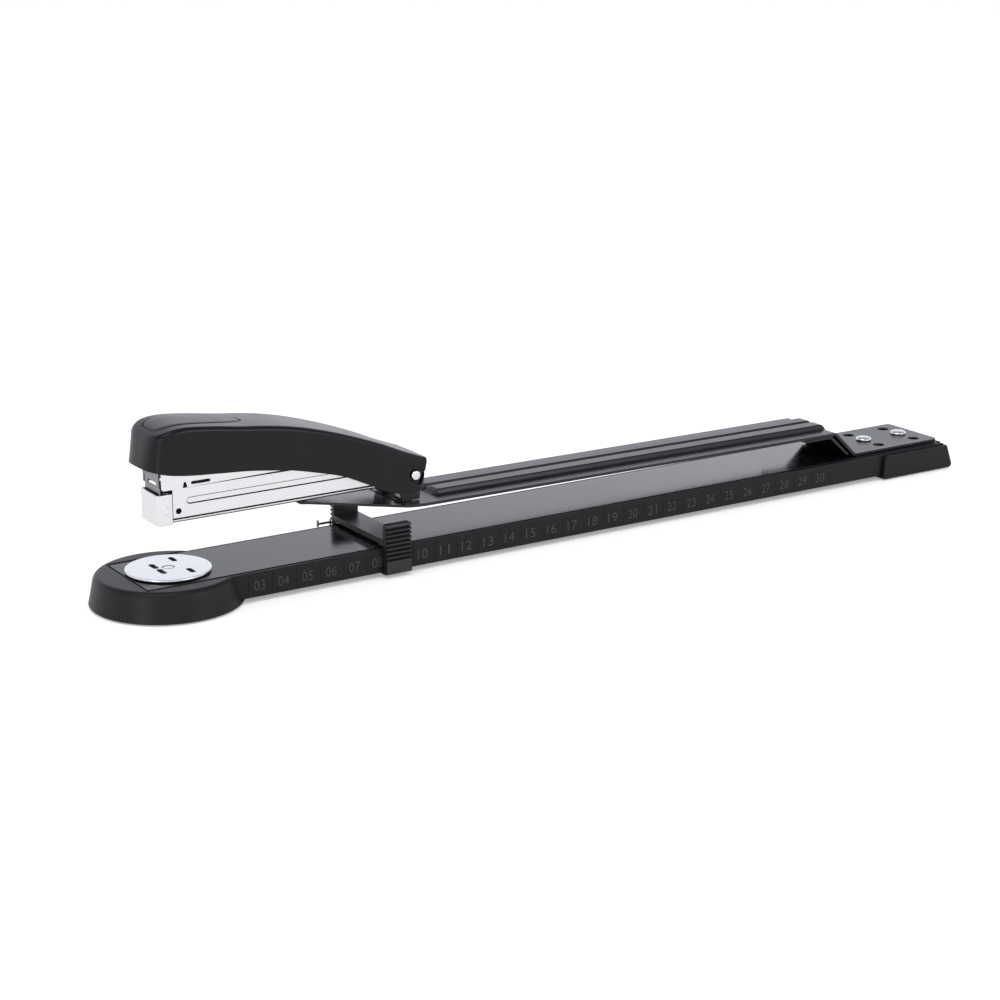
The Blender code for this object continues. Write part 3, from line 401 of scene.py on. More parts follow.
def calc(tree, operation, a, b=0.0, clamp=False):
    node = tree.nodes.new("ShaderNodeMath")
    node.operation = operation
    node.use_clamp = clamp
    for socket, value in zip(node.inputs, (a, b)):
        if isinstance(value, (int, float)):
            socket.default_value = value
        else:
            tree.links.new(value, socket)
    return node.outputs[0]


def remap(tree, value, lo, hi, out_lo, out_hi):
    node = tree.nodes.new("ShaderNodeMapRange")
    node.clamp = True
    tree.links.new(value, node.inputs["Value"])
    for label, amount in (("From Min", lo), ("From Max", hi), ("To Min", out_lo),
                          ("To Max", out_hi)):
        node.inputs[label].default_value = amount
    return node.outputs["Result"]


def object_place(tree, stretch=None):
    place = tree.nodes.new("ShaderNodeTexCoord").outputs["Object"]
    if stretch is None:
        return place
    mapping = tree.nodes.new("ShaderNodeMapping")
    mapping.inputs["Scale"].default_value = stretch
    tree.links.new(place, mapping.inputs["Vector"])
    return mapping.outputs["Vector"]


def grain_group():
    """Moulded plastic: a fine stipple over slow waves."""
    tree, inside, outside = new_group("Moulded Grain", [("Scale", 2600.0)],
                                      ["Height", "Tone"])
    place = object_place(tree)
    fine = noise(tree, place, inside.outputs["Scale"], 2.0, 0.6)
    cells = tree.nodes.new("ShaderNodeTexVoronoi")
    cells.feature = "SMOOTH_F1"
    tree.links.new(place, cells.inputs["Vector"])
    tree.links.new(inside.outputs["Scale"], cells.inputs["Scale"])
    slow = noise(tree, place, 38.0, 2.0)
    mixed = calc(tree, "ADD", calc(tree, "MULTIPLY", fine, 0.55),
                 calc(tree, "MULTIPLY", cells.outputs["Distance"], 0.45))
    tree.links.new(mixed, outside.inputs["Height"])
    tree.links.new(calc(tree, "ADD", calc(tree, "MULTIPLY", fine, 0.35),
                        calc(tree, "MULTIPLY", slow, 0.65)), outside.inputs["Tone"])
    return tree


def handling_group():
    """Where hands and paper have dulled a surface: soft smears and hairline marks."""
    tree, inside, outside = new_group(
        "Handling Marks", [("Smear", 0.5), ("Hairline", 0.5)], ["Mask", "Lines"])
    place = object_place(tree)
    smear = remap(tree, noise(tree, place, 55.0, 4.0, 0.62), 0.45, 0.72, 0.0, 1.0)
    along = object_place(tree, (1.0, 0.05, 1.0))
    lines = remap(tree, noise(tree, along, 900.0, 2.0, 0.5), 0.66, 0.74, 0.0, 1.0)
    lines = calc(tree, "MULTIPLY", lines, remap(tree, noise(tree, place, 90.0), 0.5, 0.62,
                                                0.0, 1.0))
    lines = calc(tree, "MULTIPLY", lines, inside.outputs["Hairline"])
    both = calc(tree, "ADD", calc(tree, "MULTIPLY", smear, inside.outputs["Smear"]), lines,
                clamp=True)
    tree.links.new(both, outside.inputs["Mask"])
    tree.links.new(lines, outside.inputs["Lines"])
    return tree


def dust_group():
    """Thin dust that settles on faces that look up."""
    tree, inside, outside = new_group("Settled Dust", [("Amount", 0.3)], ["Mask"])
    normal = tree.nodes.new("ShaderNodeNewGeometry").outputs["Normal"]
    parts = tree.nodes.new("ShaderNodeSeparateXYZ")
    tree.links.new(normal, parts.inputs[0])
    upward = remap(tree, parts.outputs["Z"], 0.55, 1.0, 0.0, 1.0)
    place = object_place(tree)
    specks = remap(tree, noise(tree, place, 1500.0, 2.0, 0.7), 0.62, 0.78, 0.0, 1.0)
    veil = remap(tree, noise(tree, place, 24.0, 3.0), 0.35, 0.75, 0.1, 0.5)
    mask = calc(tree, "MULTIPLY", calc(tree, "ADD", specks, veil), upward)
    tree.links.new(calc(tree, "MULTIPLY", mask, inside.outputs["Amount"], clamp=True),
                   outside.inputs["Mask"])
    return tree


def drawn_group():
    """Rolling lines along sheet metal."""
    tree, inside, outside = new_group("Drawn Lines", [("Scale", 1800.0)],
                                      ["Height", "Tone"])
    along = object_place(tree, (1.0, 0.03, 1.0))
    fine = noise(tree, along, inside.outputs["Scale"], 3.0, 0.6)
    slow = noise(tree, object_place(tree), 60.0, 3.0)
    tree.links.new(fine, outside.inputs["Height"])
    tree.links.new(calc(tree, "ADD", calc(tree, "MULTIPLY", fine, 0.5),
                        calc(tree, "MULTIPLY", slow, 0.5)), outside.inputs["Tone"])
    return tree


GROUP_MAKERS = {"Moulded Grain": grain_group, "Handling Marks": handling_group,
                "Settled Dust": dust_group, "Drawn Lines": drawn_group}


def use_group(tree, name, **values):
    node = tree.nodes.new("ShaderNodeGroup")
    node.node_tree = bpy.data.node_groups.get(name) or GROUP_MAKERS[name]()
    for label, value in values.items():
        node.inputs[label].default_value = value
    return node


# ---- finishes -----------------------------------------------------------------
def blend_colour(tree, mask, a, b):
    node = tree.nodes.new("ShaderNodeMix")
    node.data_type = "RGBA"
    colour_inputs = [s for s in node.inputs if s.type == "RGBA"]
    tree.links.new(mask, node.inputs[0])
    for socket, value in zip(colour_inputs, (a, b)):
        if isinstance(value, bpy.types.NodeSocket):
            tree.links.new(value, socket)
        else:
            socket.default_value = (*value, 1.0)
    return next(s for s in node.outputs if s.type == "RGBA")


def start_material(name, metallic=0.0, specular=0.5, coat=0.0, coat_rough=0.1):
    mat = bpy.data.materials.new(name)
    mat.use_nodes = True
    tree = mat.node_tree
    shader = tree.nodes["Principled BSDF"]
    shader.inputs["Metallic"].default_value = metallic
    shader.inputs["Specular IOR Level"].default_value = specular
    shader.inputs["Coat Weight"].default_value = coat
    shader.inputs["Coat Roughness"].default_value = coat_rough
    return mat, tree, shader


def bump(tree, shader, height, strength, distance):
    node = tree.nodes.new("ShaderNodeBump")
    node.inputs["Strength"].default_value = strength
    node.inputs["Distance"].default_value = distance
    tree.links.new(height, node.inputs["Height"])
    tree.links.new(node.outputs["Normal"], shader.inputs["Normal"])


def worn(tree, source, low, high, marks, amount):
    """Roughness that follows a texture and rises where the surface was handled."""
    return calc(tree, "ADD", remap(tree, source, 0.3, 0.7, low, high),
                calc(tree, "MULTIPLY", marks.outputs["Mask"], amount))


def wire_up(tree, shader, tone, roughness):
    tree.links.new(tone, shader.inputs["Base Color"])
    tree.links.new(roughness, shader.inputs["Roughness"])


def plastic(name, base, rough, grain, relief, dust, specular=0.24):
    """Moulded black plastic; grain is the stipple's scale and relief its depth."""
    mat, tree, shader = start_material(name, specular=specular)
    texture = use_group(tree, "Moulded Grain", Scale=grain)
    marks = use_group(tree, "Handling Marks", Smear=0.5, Hairline=0.35)
    film = use_group(tree, "Settled Dust", Amount=dust)
    lighter = tuple(min(1.0, c * 1.35 + 0.002) for c in base)
    tone = blend_colour(tree, texture.outputs["Tone"], tuple(c * 0.82 for c in base),
                        lighter)
    tone = blend_colour(tree, film.outputs["Mask"], tone, (0.16, 0.155, 0.15))
    wire_up(tree, shader, tone, worn(tree, texture.outputs["Tone"], rough - 0.03,
                                     rough + 0.04, marks, 0.08))
    bump(tree, shader, texture.outputs["Height"], relief, 0.00006)
    return mat


def enamel(name, base, rough, specular, coat, front=1.0):
    """Gloss stove enamel with a faint orange peel; front is the coat's share in front."""
    mat, tree, shader = start_material(name, specular=specular, coat=coat, coat_rough=0.12)
    peel = noise(tree, object_place(tree), 620.0, 2.0, 0.45)
    marks = use_group(tree, "Handling Marks", Smear=0.3, Hairline=0.2)
    film = use_group(tree, "Settled Dust", Amount=0.03)
    tone = blend_colour(tree, marks.outputs["Lines"], base, (0.03, 0.03, 0.033))
    tone = blend_colour(tree, film.outputs["Mask"], tone, (0.05, 0.05, 0.055))
    wire_up(tree, shader, tone, worn(tree, peel, rough - 0.02, rough + 0.02, marks, 0.10))
    bump(tree, shader, peel, 0.03, 0.00004)
    # Less coat towards the front darkens the plate's front: painted shade.
    if front < 1.0:
        parts = tree.nodes.new("ShaderNodeSeparateXYZ")
        tree.links.new(tree.nodes.new("ShaderNodeTexCoord").outputs["Generated"],
                       parts.inputs[0])
        painted_front_shade = remap(tree, parts.outputs["Y"], 0.0, 0.75, front * coat, coat)
        tree.links.new(painted_front_shade, shader.inputs["Coat Weight"])
    return mat


def plated(name, base, rough, relief=0.03, shade=0.95):
    """Bright plated or polished sheet metal with rolling lines under the plating."""
    mat, tree, shader = start_material(name, metallic=1.0)
    drawn = use_group(tree, "Drawn Lines", Scale=1500.0)
    marks = use_group(tree, "Handling Marks", Smear=0.25, Hairline=0.3)
    tone = blend_colour(tree, drawn.outputs["Tone"], tuple(c * shade for c in base), base)
    wire_up(tree, shader, tone, worn(tree, drawn.outputs["Tone"], rough - 0.03,
                                     rough + 0.03, marks, 0.07))
    bump(tree, shader, drawn.outputs["Height"], relief, 0.00002)
    return mat


def rubber(name, base):
    mat, tree, shader = start_material(name, specular=0.3)
    texture = use_group(tree, "Moulded Grain", Scale=1700.0)
    tone = blend_colour(tree, texture.outputs["Tone"], tuple(c * 0.7 for c in base),
                        tuple(c * 1.5 for c in base))
    wire_up(tree, shader, tone, remap(tree, texture.outputs["Tone"], 0.2, 0.8, 0.78, 0.92))
    bump(tree, shader, texture.outputs["Height"], 0.5, 0.0001)
    return mat


def staple_wire(name, base):
    """A strip of glued staples: one fine ridge for each wire."""
    mat, tree, shader = start_material(name, metallic=1.0)
    wires = tree.nodes.new("ShaderNodeTexWave")
    wires.wave_type = "BANDS"
    wires.bands_direction = "Y"
    wires.wave_profile = "SIN"
    wires.inputs["Scale"].default_value = 2 * math.pi / 0.0132
    tree.links.new(object_place(tree), wires.inputs["Vector"])
    # The valleys between the wires are darkened as painted shade.
    tone = blend_colour(tree, wires.outputs["Fac"], tuple(c * 0.45 for c in base), base)
    wire_up(tree, shader, tone, remap(tree, wires.outputs["Fac"], 0.0, 1.0, 0.42, 0.26))
    bump(tree, shader, wires.outputs["Fac"], 0.6, 0.0001)
    return mat


def finish(name):
    """The named finish, made the first time it is asked for."""
    found = bpy.data.materials.get(name)
    if found:
        return found
    f = finishes()
    makers = {
        "Cover Plastic": (plastic, f.cover, 0.22, 3000.0, 0.05, 0.03, 0.25),
        "Pad Plastic": (plastic, f.pad, 0.29, 1900.0, 0.18, 0.04, 0.5),
        "Ruler Plastic": (plastic, f.ruler, 0.36, 2600.0, 0.2, 0.04),
        "Ruler Figures": (plastic, f.figures, 0.30, 2600.0, 0.1, 0.04, 0.5),
        "Guide Plastic": (plastic, f.guide, 0.30, 2600.0, 0.15, 0.04, 0.5),
        "Foot Plastic": (plastic, f.foot, 0.36, 2600.0, 0.18, 0.04),
        # The last value thins the coat at the plate's front as painted shade.
        "Black Enamel": (enamel, f.paint, 0.17, 0.14, 0.66, 0.42),
        "Arm Enamel": (enamel, f.paint, 0.24, 0.46, 0.0),
        "Pad Rubber": (rubber, f.rubber),
        "Nickel Plate": (plated, f.plating, 0.27),
        "Polished Rivet": (plated, f.rivet, 0.20),
        "Spring Steel": (plated, f.spring, 0.34, 0.10, 0.75),
        "Blade Steel": (plated, (0.30, 0.30, 0.31), 0.30, 0.06, 0.8),
        # This dark steel darkens slot pockets and grooves as painted shade, and also finishes the cross
        # pin.
        "Slot Steel": (plated, (0.045, 0.046, 0.05), 0.50, 0.10, 0.7),
        # This near-black finish paints the inside of the shallow cross-pin dimple as painted shade.
        "Dark Hole": (plated, (0.012, 0.012, 0.014), 0.55, 0.02, 0.7),
        "Staple Wire": (staple_wire, f.wire),
    }
    maker, base, *values = makers[name]
    return maker(name, tuple(base), *values)


# ---- base ---------------------------------------------------------------------
def ruler_relief(name, side):
    """Raised centimetre numbers for one side of the channel."""
    s = sizes()
    height, relief = s.number_height / MM, s.number_relief / MM
    x0, x1, _, _, z0, z1 = span("base_channel")
    face = x1 if side > 0 else x0
    bm = bmesh.new()
    middle = (z0 + z1) / 2 - 0.3
    width, em, thick = 4.6, 10.0, 0.5
    for i in range(s.number_count):
        text = bpy.data.curves.new("digits", "FONT")
        text.body = f"{s.first_number + i:02d}"
        text.size = em
        text.extrude = thick
        text.resolution_u = 3
        holder = add_object("digits", text)
        bpy.context.view_layer.update()
        graph = bpy.context.evaluated_depsgraph_get()
        mesh = bpy.data.meshes.new_from_object(holder.evaluated_get(graph))
        bpy.data.objects.remove(holder)
        bpy.data.curves.remove(text)
        xs = [v.co.x for v in mesh.vertices]
        ys = [v.co.y for v in mesh.vertices]
        scale_u = width / (max(xs) - min(xs))
        scale_v = height / (max(ys) - min(ys))
        mid_u, mid_v = (max(xs) + min(xs)) / 2, (max(ys) + min(ys)) / 2
        for v in mesh.vertices:
            u = (v.co.x - mid_u) * scale_u
            w = (v.co.y - mid_v) * scale_v
            out = face + side * (relief if v.co.z > 0 else -ROOT)
            v.co = (out, FIRST_CELL + CELL * i + side * u, middle + w)
        bm.from_mesh(mesh)
        bpy.data.meshes.remove(mesh)
    return from_bmesh(name, bm)


def cell_ridges(name, side):
    """Raised lines between the ruler's cells."""
    s = sizes()
    relief = s.number_relief / MM
    x0, x1, _, _, z0, z1 = span("base_channel")
    face = x1 if side > 0 else x0
    low, high = z0 + 0.35, z1 - 1.1
    foot, crest, top = 0.28, 0.12, relief * 0.8
    ring = [(-ROOT, foot), (top, crest), (top, -crest), (-ROOT, -foot)]
    bm = bmesh.new()
    for i in range(s.number_count + 1):
        y = FIRST_CELL - 4.3 + CELL * i
        ends = [[bm.verts.new((face + side * d, y + u, z)) for d, u in ring]
                for z in (low, high)]
        for k in range(4):
            n = (k + 1) % 4
            bm.faces.new((ends[0][k], ends[0][n], ends[1][n], ends[1][k]))
        bm.faces.new(ends[0])
        bm.faces.new(ends[1])
    bmesh.ops.remove_doubles(bm, verts=bm.verts, dist=0.0005)
    return from_bmesh(name, bm)


def build_channel():
    _, x1, y0, y1, z0, z1 = span("base_channel")
    wall, lower_wall = 1.1, 1.6
    plate_low = span("base_plate")[4]
    web_top, web_low = plate_low - GAP, plate_low - 1.8
    half = [(x1 - wall, web_top), (x1 - wall, z1), (x1, z1), (x1, z0),
            (x1 - lower_wall, z0), (x1 - lower_wall, web_low)]
    body = prism("ruled_channel", "cross", mirrored(half), y0, y1)
    carve(body, drill(4.2, -3, 3, (0, 0, web_top), steps=48))
    round_edges(body, 0.22, 3)
    settle(body, "base", finish("Ruler Plastic"), ["base_channel"])
    for label, side in (("near", 1), ("far", -1)):
        marks = ruler_relief(f"ruler_marks_{label}", side)
        # The raised figures get the lighter finish as a painted highlight.
        settle(marks, "base", finish("Ruler Figures"), sharp=25)
        cells = cell_ridges(f"ruler_cells_{label}", side)
        settle(cells, "base", finish("Ruler Plastic"), sharp=25)


def build_plate():
    x0, x1, y0, y1, z0, z1 = span("base_plate")
    outline = fillet(rect(x0 + GAP, x1 - GAP, y0, y1), (0.8,) * 4)
    plate = prism("painted_plate", "plan", outline, z0, z1)
    carve(plate, drill(4.1, -3, 3, (0, 0, z1), steps=48))
    round_edges(plate, sizes().sheet_edge / MM, 3)
    settle(plate, "base", finish("Black Enamel"), ["base_plate"])


def build_feet():
    _, x1, y0, _, under, top = span("front_foot")
    overhang = 0.2                       # the profile's widest ring is this far inside r
    r = x1 + overhang
    gap = span("base_channel")[1] + GAP
    profile = [(0, under), (r - 0.9, under), (r - 0.45, under + 0.12),
               (r - overhang, under + 0.5), (r - 0.3, 1.4), (r - 0.9, 4.2), (r - 1.5, 7.2), (r - 1.85, 9.0),
               (r - 2.0, 9.7), (r - 2.2, 10.3), (r - 2.5, 10.9), (r - 2.95, 11.35),
               (r - 3.45, 11.63), (r - 4.0, top - 0.03), (r - 5.0, top), (0, top)]
    foot = lathe("front_foot_shell", profile, (0, y0 + r - overhang, 0), steps=160)
    pocket = cutter("cross", rect(-gap, gap, UNDER_CHANNEL, top + 5),
                    span("base_channel")[2] - GAP, r + 6)
    carve(foot, pocket, drill(7.6, -6, 4, (0, 0, 0), steps=64))
    for k in range(3):
        px0, px1, py0, py1, _, _ = span(f"front_pad_{k + 1}")
        middle = ((px0 + px1) / 2, (py0 + py1) / 2, 0)
        carve(foot, drill((px1 - px0) / 2 + GAP, -2, PAD_POCKET, middle, steps=32))
    settle(foot, "base", finish("Foot Plastic"), ["front_foot"], sharp=34)

    _, w, y0, y1, z0, z1 = span("rear_foot")
    top = z1 - 1.4
    side = [(y0 + 0.3, z0), (y1, z0), (y1 - 4.4, z1), (y1 - 6.8, z1),
            (y1 - 8.2, top), (y0 + 0.9, top)]
    side = fillet(side, (0.8, 1.6, 2.2, 0.5, 0.6, 1.8))
    cap = prism("rear_foot_shell", "side", side, -w, w)
    round_edges(cap, 0.8, 4, 50)
    carve(cap, cutter("cross", rect(-gap, gap, UNDER_CHANNEL, 20), y0 - 4,
                      span("long_arm")[3] + 1.3))
    lip = gap - 2.9
    for near, far in ((lip, w + 2), (-w - 2, -lip)):
        edge = rect(near, far, top + 0.06, top + 4)
        carve(cap, cutter("cross", edge, y1 - 9.5, y1 + 1))
    for k in range(2):
        px0, px1, py0, py1, _, _ = span(f"rear_pad_{k + 1}")
        rim = rect(px0 - GAP, px1 + GAP, py0 - GAP, py1 + GAP)
        carve(cap, cutter("plan", rim, -2, PAD_POCKET))
    settle(cap, "base", finish("Foot Plastic"), ["rear_foot"], sharp=34)


def build_anvil():
    _, r, _, _, z0, z1 = span("anvil_disc")
    t = z1 - z0
    profile = [(0, 0), (r - 0.35, 0), (r - 0.1, 0.1), (r, 0.35), (r, t - 0.4),
               (r - 0.12, t - 0.13), (r - 0.4, t), (r - 1.5, t), (0, t)]
    disc = lathe("anvil_plate", profile, (0, 0, z0), steps=160)
    carve(disc, drill(2.4, -2, 2, (0, 0, z1)))
    steps = ((-0.62, -0.35), (-0.45, -0.1), (0.0, 0.12), (0.2, 0.2))
    for cx, cy, size in ((3.55, -4.2, (6.2, 2.2)), (7.9, 5.4, (5.6, 2.0))):
        for side in (1, -1):
            carve(disc, stadium(lambda u, v, out: (u, v, z1 + out), (side * cx, cy), size,
                                steps))
    disc.data.materials.append(finish("Nickel Plate"))
    disc.data.materials.append(finish("Slot Steel"))
    # The slot pockets' faces take the dark steel as painted shade.
    for poly in disc.data.polygons:
        out = math.hypot(poly.center.x, poly.center.y)
        if z1 - 0.64 < poly.center.z < z1 - 0.05 and 2.5 < out < r - 1.0:
            poly.material_index = 1
    settle(disc, "anvil", finish("Nickel Plate"), ["anvil_disc"], sharp=30)

    low, top = span("anvil_post")[4:]
    head = [(0, low), (6.4, low), (7.0, 2.6), (7.0, 3.8), (6.6, 4.2), (3.6, 4.2),
            (3.6, z0 - GAP), (2.1, z0 - GAP), (2.1, top - 0.25), (1.95, top - 0.08),
            (1.6, top), (0.5, top - 0.05), (0, top - 0.12)]
    stem = lathe("anvil_rivet", head, (0, 0, 0), steps=64)
    settle(stem, "anvil_button", finish("Polished Rivet"), ["anvil_post"])


# ---- paper guide --------------------------------------------------------------
def build_guide():
    x0, x1, y0, y1, z0, z1 = span("guide_slider")
    base_top = span("base_plate")[5]
    inner = span("base_channel")[1] + GAP
    bar_low, bar_top = base_top + 0.6, base_top + 3.3
    hook = inner - 1.8
    pitch, groove = 1.72, 1.25
    ribs = []
    z = z1 - 1.35
    for _ in range(sizes().grip_ribs):
        for k in range(10):
            wave = math.sin(math.pi * k / 10) ** 0.8
            ribs.append((x1 - groove * wave, z - groove * k / 10))
        ribs.append((x1, z - groove))
        z -= pitch
    ribs += [(x1, z), (x1, z - 0.6)]
    crown = fillet([(inner, z1 - 4), (inner, z1), (x1, z1), (x1, z1 - 4)],
                   (0, 0.9, 1.1, 0), 6)[1:-1]
    low = fillet([(x1, z0 + 4), (x1, z0), (hook, z0), (hook, UNDER_CHANNEL)],
                 (0, 1.3, 0, 0), 6)[1:]
    half = [(inner, bar_top)] + crown + ribs + low
    half += [(inner, UNDER_CHANNEL), (inner, bar_low)]
    body = prism("paper_guide", "cross", mirrored(half), y0, y1)
    edge = fillet([(y0, z0 - 1), (y1, z0 - 1), (y1, z1 + 0.01), (y0, z1 + 0.01)],
                  (0, 0, 1.3, 1.0), 6)
    carve(body, cutter("side", edge, x0 - 1, x1 + 1), operation="INTERSECT")
    middle = (y0 + y1) / 2
    pocket = rect(-8, 8, middle - 4, middle + 4)
    carve(body, cutter("plan", pocket, bar_low - 1, bar_top - 1.0))
    arch = [(-17.0, bar_low - 1), (17.0, bar_low - 1), (15.5, bar_low + 0.5),
            (-15.5, bar_low + 0.5)]
    carve(body, cutter("cross", arch, y0 - 1, y0 + 1.2))
    round_edges(body, 0.2, 2, 48)
    settle(body, "guide", finish("Guide Plastic"), ["guide_slider"])


# ---- arm ----------------------------------------------------------------------
def arm_line():
    """Top line of the arm's middle plane, front to rear, with rounded bends."""
    _, _, y0, y1, _, _ = span("long_arm")
    rear = span("base_plate")[5] + 1.5
    ramp_end = y1 - 48.3
    ramp_top = ramp_end - 11.5
    level = rear + 10.9
    corners = [(y0, level + 1.3), (ramp_top - 0.2, level), (ramp_end - 0.2, rear),
               (y1, rear)]
    line = fillet(corners, (0, 2.6, 3.4, 0), 10)
    dense = []
    for (ya, za), (yb, zb) in zip(line, line[1:]):
        steps = max(1, int((yb - ya) / 4.0))
        dense += [(ya + (yb - ya) * k / steps, za + (zb - za) * k / steps)
                  for k in range(steps)]
    return dense + [line[-1]], ramp_top


def build_arm():
    _, x1, y0, y1, _, _ = span("long_arm")
    line, ramp_top = arm_line()
    rise, bead_x, flat, flange = sizes().bead_rise / MM, 4.3, 4.0, 9
    first, last = y0 + 15.0, ramp_top + 2.6
    extra = [y0 + d for d in (0.6, 1.6, 3.2, 5.0, 6.5, 8.0)]
    extra += [first + 0.45 * k for k in range(11)]
    extra += [last - 5 + 0.5 * k for k in range(11)]
    extra += [y1 - 1.2, y1 - 0.6]
    stations = sorted(set([round(p[0], 4) for p in line] + [round(e, 4) for e in extra]))

    def level(y):
        for (ya, za), (yb, zb) in zip(line, line[1:]):
            if y <= yb:
                return za + (zb - za) * (y - ya) / (yb - ya)
        return line[-1][1]

    offsets = [0.0, 1.2, 2.2, 2.7, 2.95, 3.15, 3.35, 3.55, 3.75, 4.0]
    across = {round(c + s * d, 3)
              for c in (-bead_x, bead_x) for d in offsets for s in (-1, 1)}
    across |= {s * x for x in (0.0, x1, 9.5, 12.0, 14.5, 15.3) for s in (1, -1)}
    across = sorted(across)

    def half_width(y):
        front = smooth_line([(y0, x1 - 2.2), (y0 + 3.2, x1 - 0.9), (y0 + 8, x1),
                             (y0 + 9, x1)], y)
        return min(front, x1 - max(0.0, y - (y1 - 1.2)))

    rows = []
    for y in stations:
        w = half_width(y)
        lift = ease((y - first) / 4.5) * ease((last - y) / 4.6)
        row = []
        for x in across:
            near = min(abs(x - bead_x), abs(x + bead_x))
            bead = ease((flat - near) / 1.25)
            out = flange + (abs(x) - flange) * (w - flange) / (x1 - flange)
            px = x if abs(x) < flange else math.copysign(out, x)
            row.append((px, y, level(y) + rise * bead * lift))
        rows.append(row)
    arm = sheet_grid("beaded_arm", rows, up=Vector((0, 0, 1)))
    thicken(arm, ARM_SHEET)
    hole = [(0, -4), (2.45, -4), (2.45, -0.2), (2.6, 0.04), (2.8, 3), (0, 3)]
    top = span("base_plate")[5] + 1.5
    for hy in (y1 - 29.6, y1 - 8.9):
        for hx in (-9.94, 9.94):
            carve(arm, lathe("tool", hole, (hx, hy, top), steps=40))
    for k in (1, 2):
        _, _, ry0, ry1, _, _ = span(f"rear_rivet_{k}")
        carve(arm, drill(2.5, -4, 3, (0, (ry0 + ry1) / 2, top)))
    round_edges(arm, sizes().sheet_edge / MM, 2, 60)
    settle(arm, "base", finish("Arm Enamel"), ["long_arm"], sharp=32)


def build_tongue():
    _, x1, y0, y1, z0, z1 = span("lift_tongue")
    side = [(y1, z0), (y1, z0 + 1.0), (y0 + 3.3, z1 - 0.05), (y0 + 0.9, z1),
            (y0 - 0.2, z1 - 0.75), (y0 + 3.3, z1 - 1.05)]
    side = fillet(side, (0, 0, 2, 0.4, 0.4, 2), 4)
    tongue = prism("spring_tongue", "side", side, -30, 30)
    plan = mirrored([(5.2, y0 - 0.4), (6.6, y0 + 0.3), (7.3, y0 + 1.8), (x1, y1 + 0.5)])
    carve(tongue, cutter("plan", plan, -20, 90), operation="INTERSECT")
    round_edges(tongue, 0.2, 2, 45)
    settle(tongue, "tongue", finish("Arm Enamel"), ["lift_tongue"])


def build_rivets():
    for k in (1, 2):
        _, x1, y0, y1, z0, z1 = span(f"rear_rivet_{k}")
        head = z1 - 1.3
        profile = [(0, z0), (x1, z0), (x1, z0 + 1.1), (2.2, z0 + 1.1), (2.2, head),
                   (3.3, head), (3.5, head + 0.12), (3.52, head + 0.3), (3.35, head + 0.62),
                   (2.9, head + 0.95), (2.2, head + 1.17), (1.2, head + 1.28),
                   (0.8, head + 1.27), (0.45, head + 1.16), (0, head + 1.12)]
        rivet = lathe(f"plate_rivet_{k}", profile, (0, (y0 + y1) / 2, 0), steps=72)
        settle(rivet, "base", finish("Polished Rivet"), [f"rear_rivet_{k}"])
    half = span("hinge_pin")[1] - 0.3
    one = [(0, half + 0.22), (1.0, half + 0.26), (1.5, half + 0.2), (1.8, half),
           (1.95, half - 0.25), (2.0, half - 0.5), (1.9, half - 0.5)]
    profile = one + [(r, -h) for r, h in reversed(one)]
    pin = lathe("head_pin", profile, (0, *pin_spot()), "X", 72)
    settle(pin, "base", finish("Polished Rivet"), ["hinge_pin"])


# ---- stapling head ------------------------------------------------------------
def pin_spot():
    _, _, y0, y1, z0, z1 = span("hinge_pin")
    return (y0 + y1) / 2, (z0 + z1) / 2


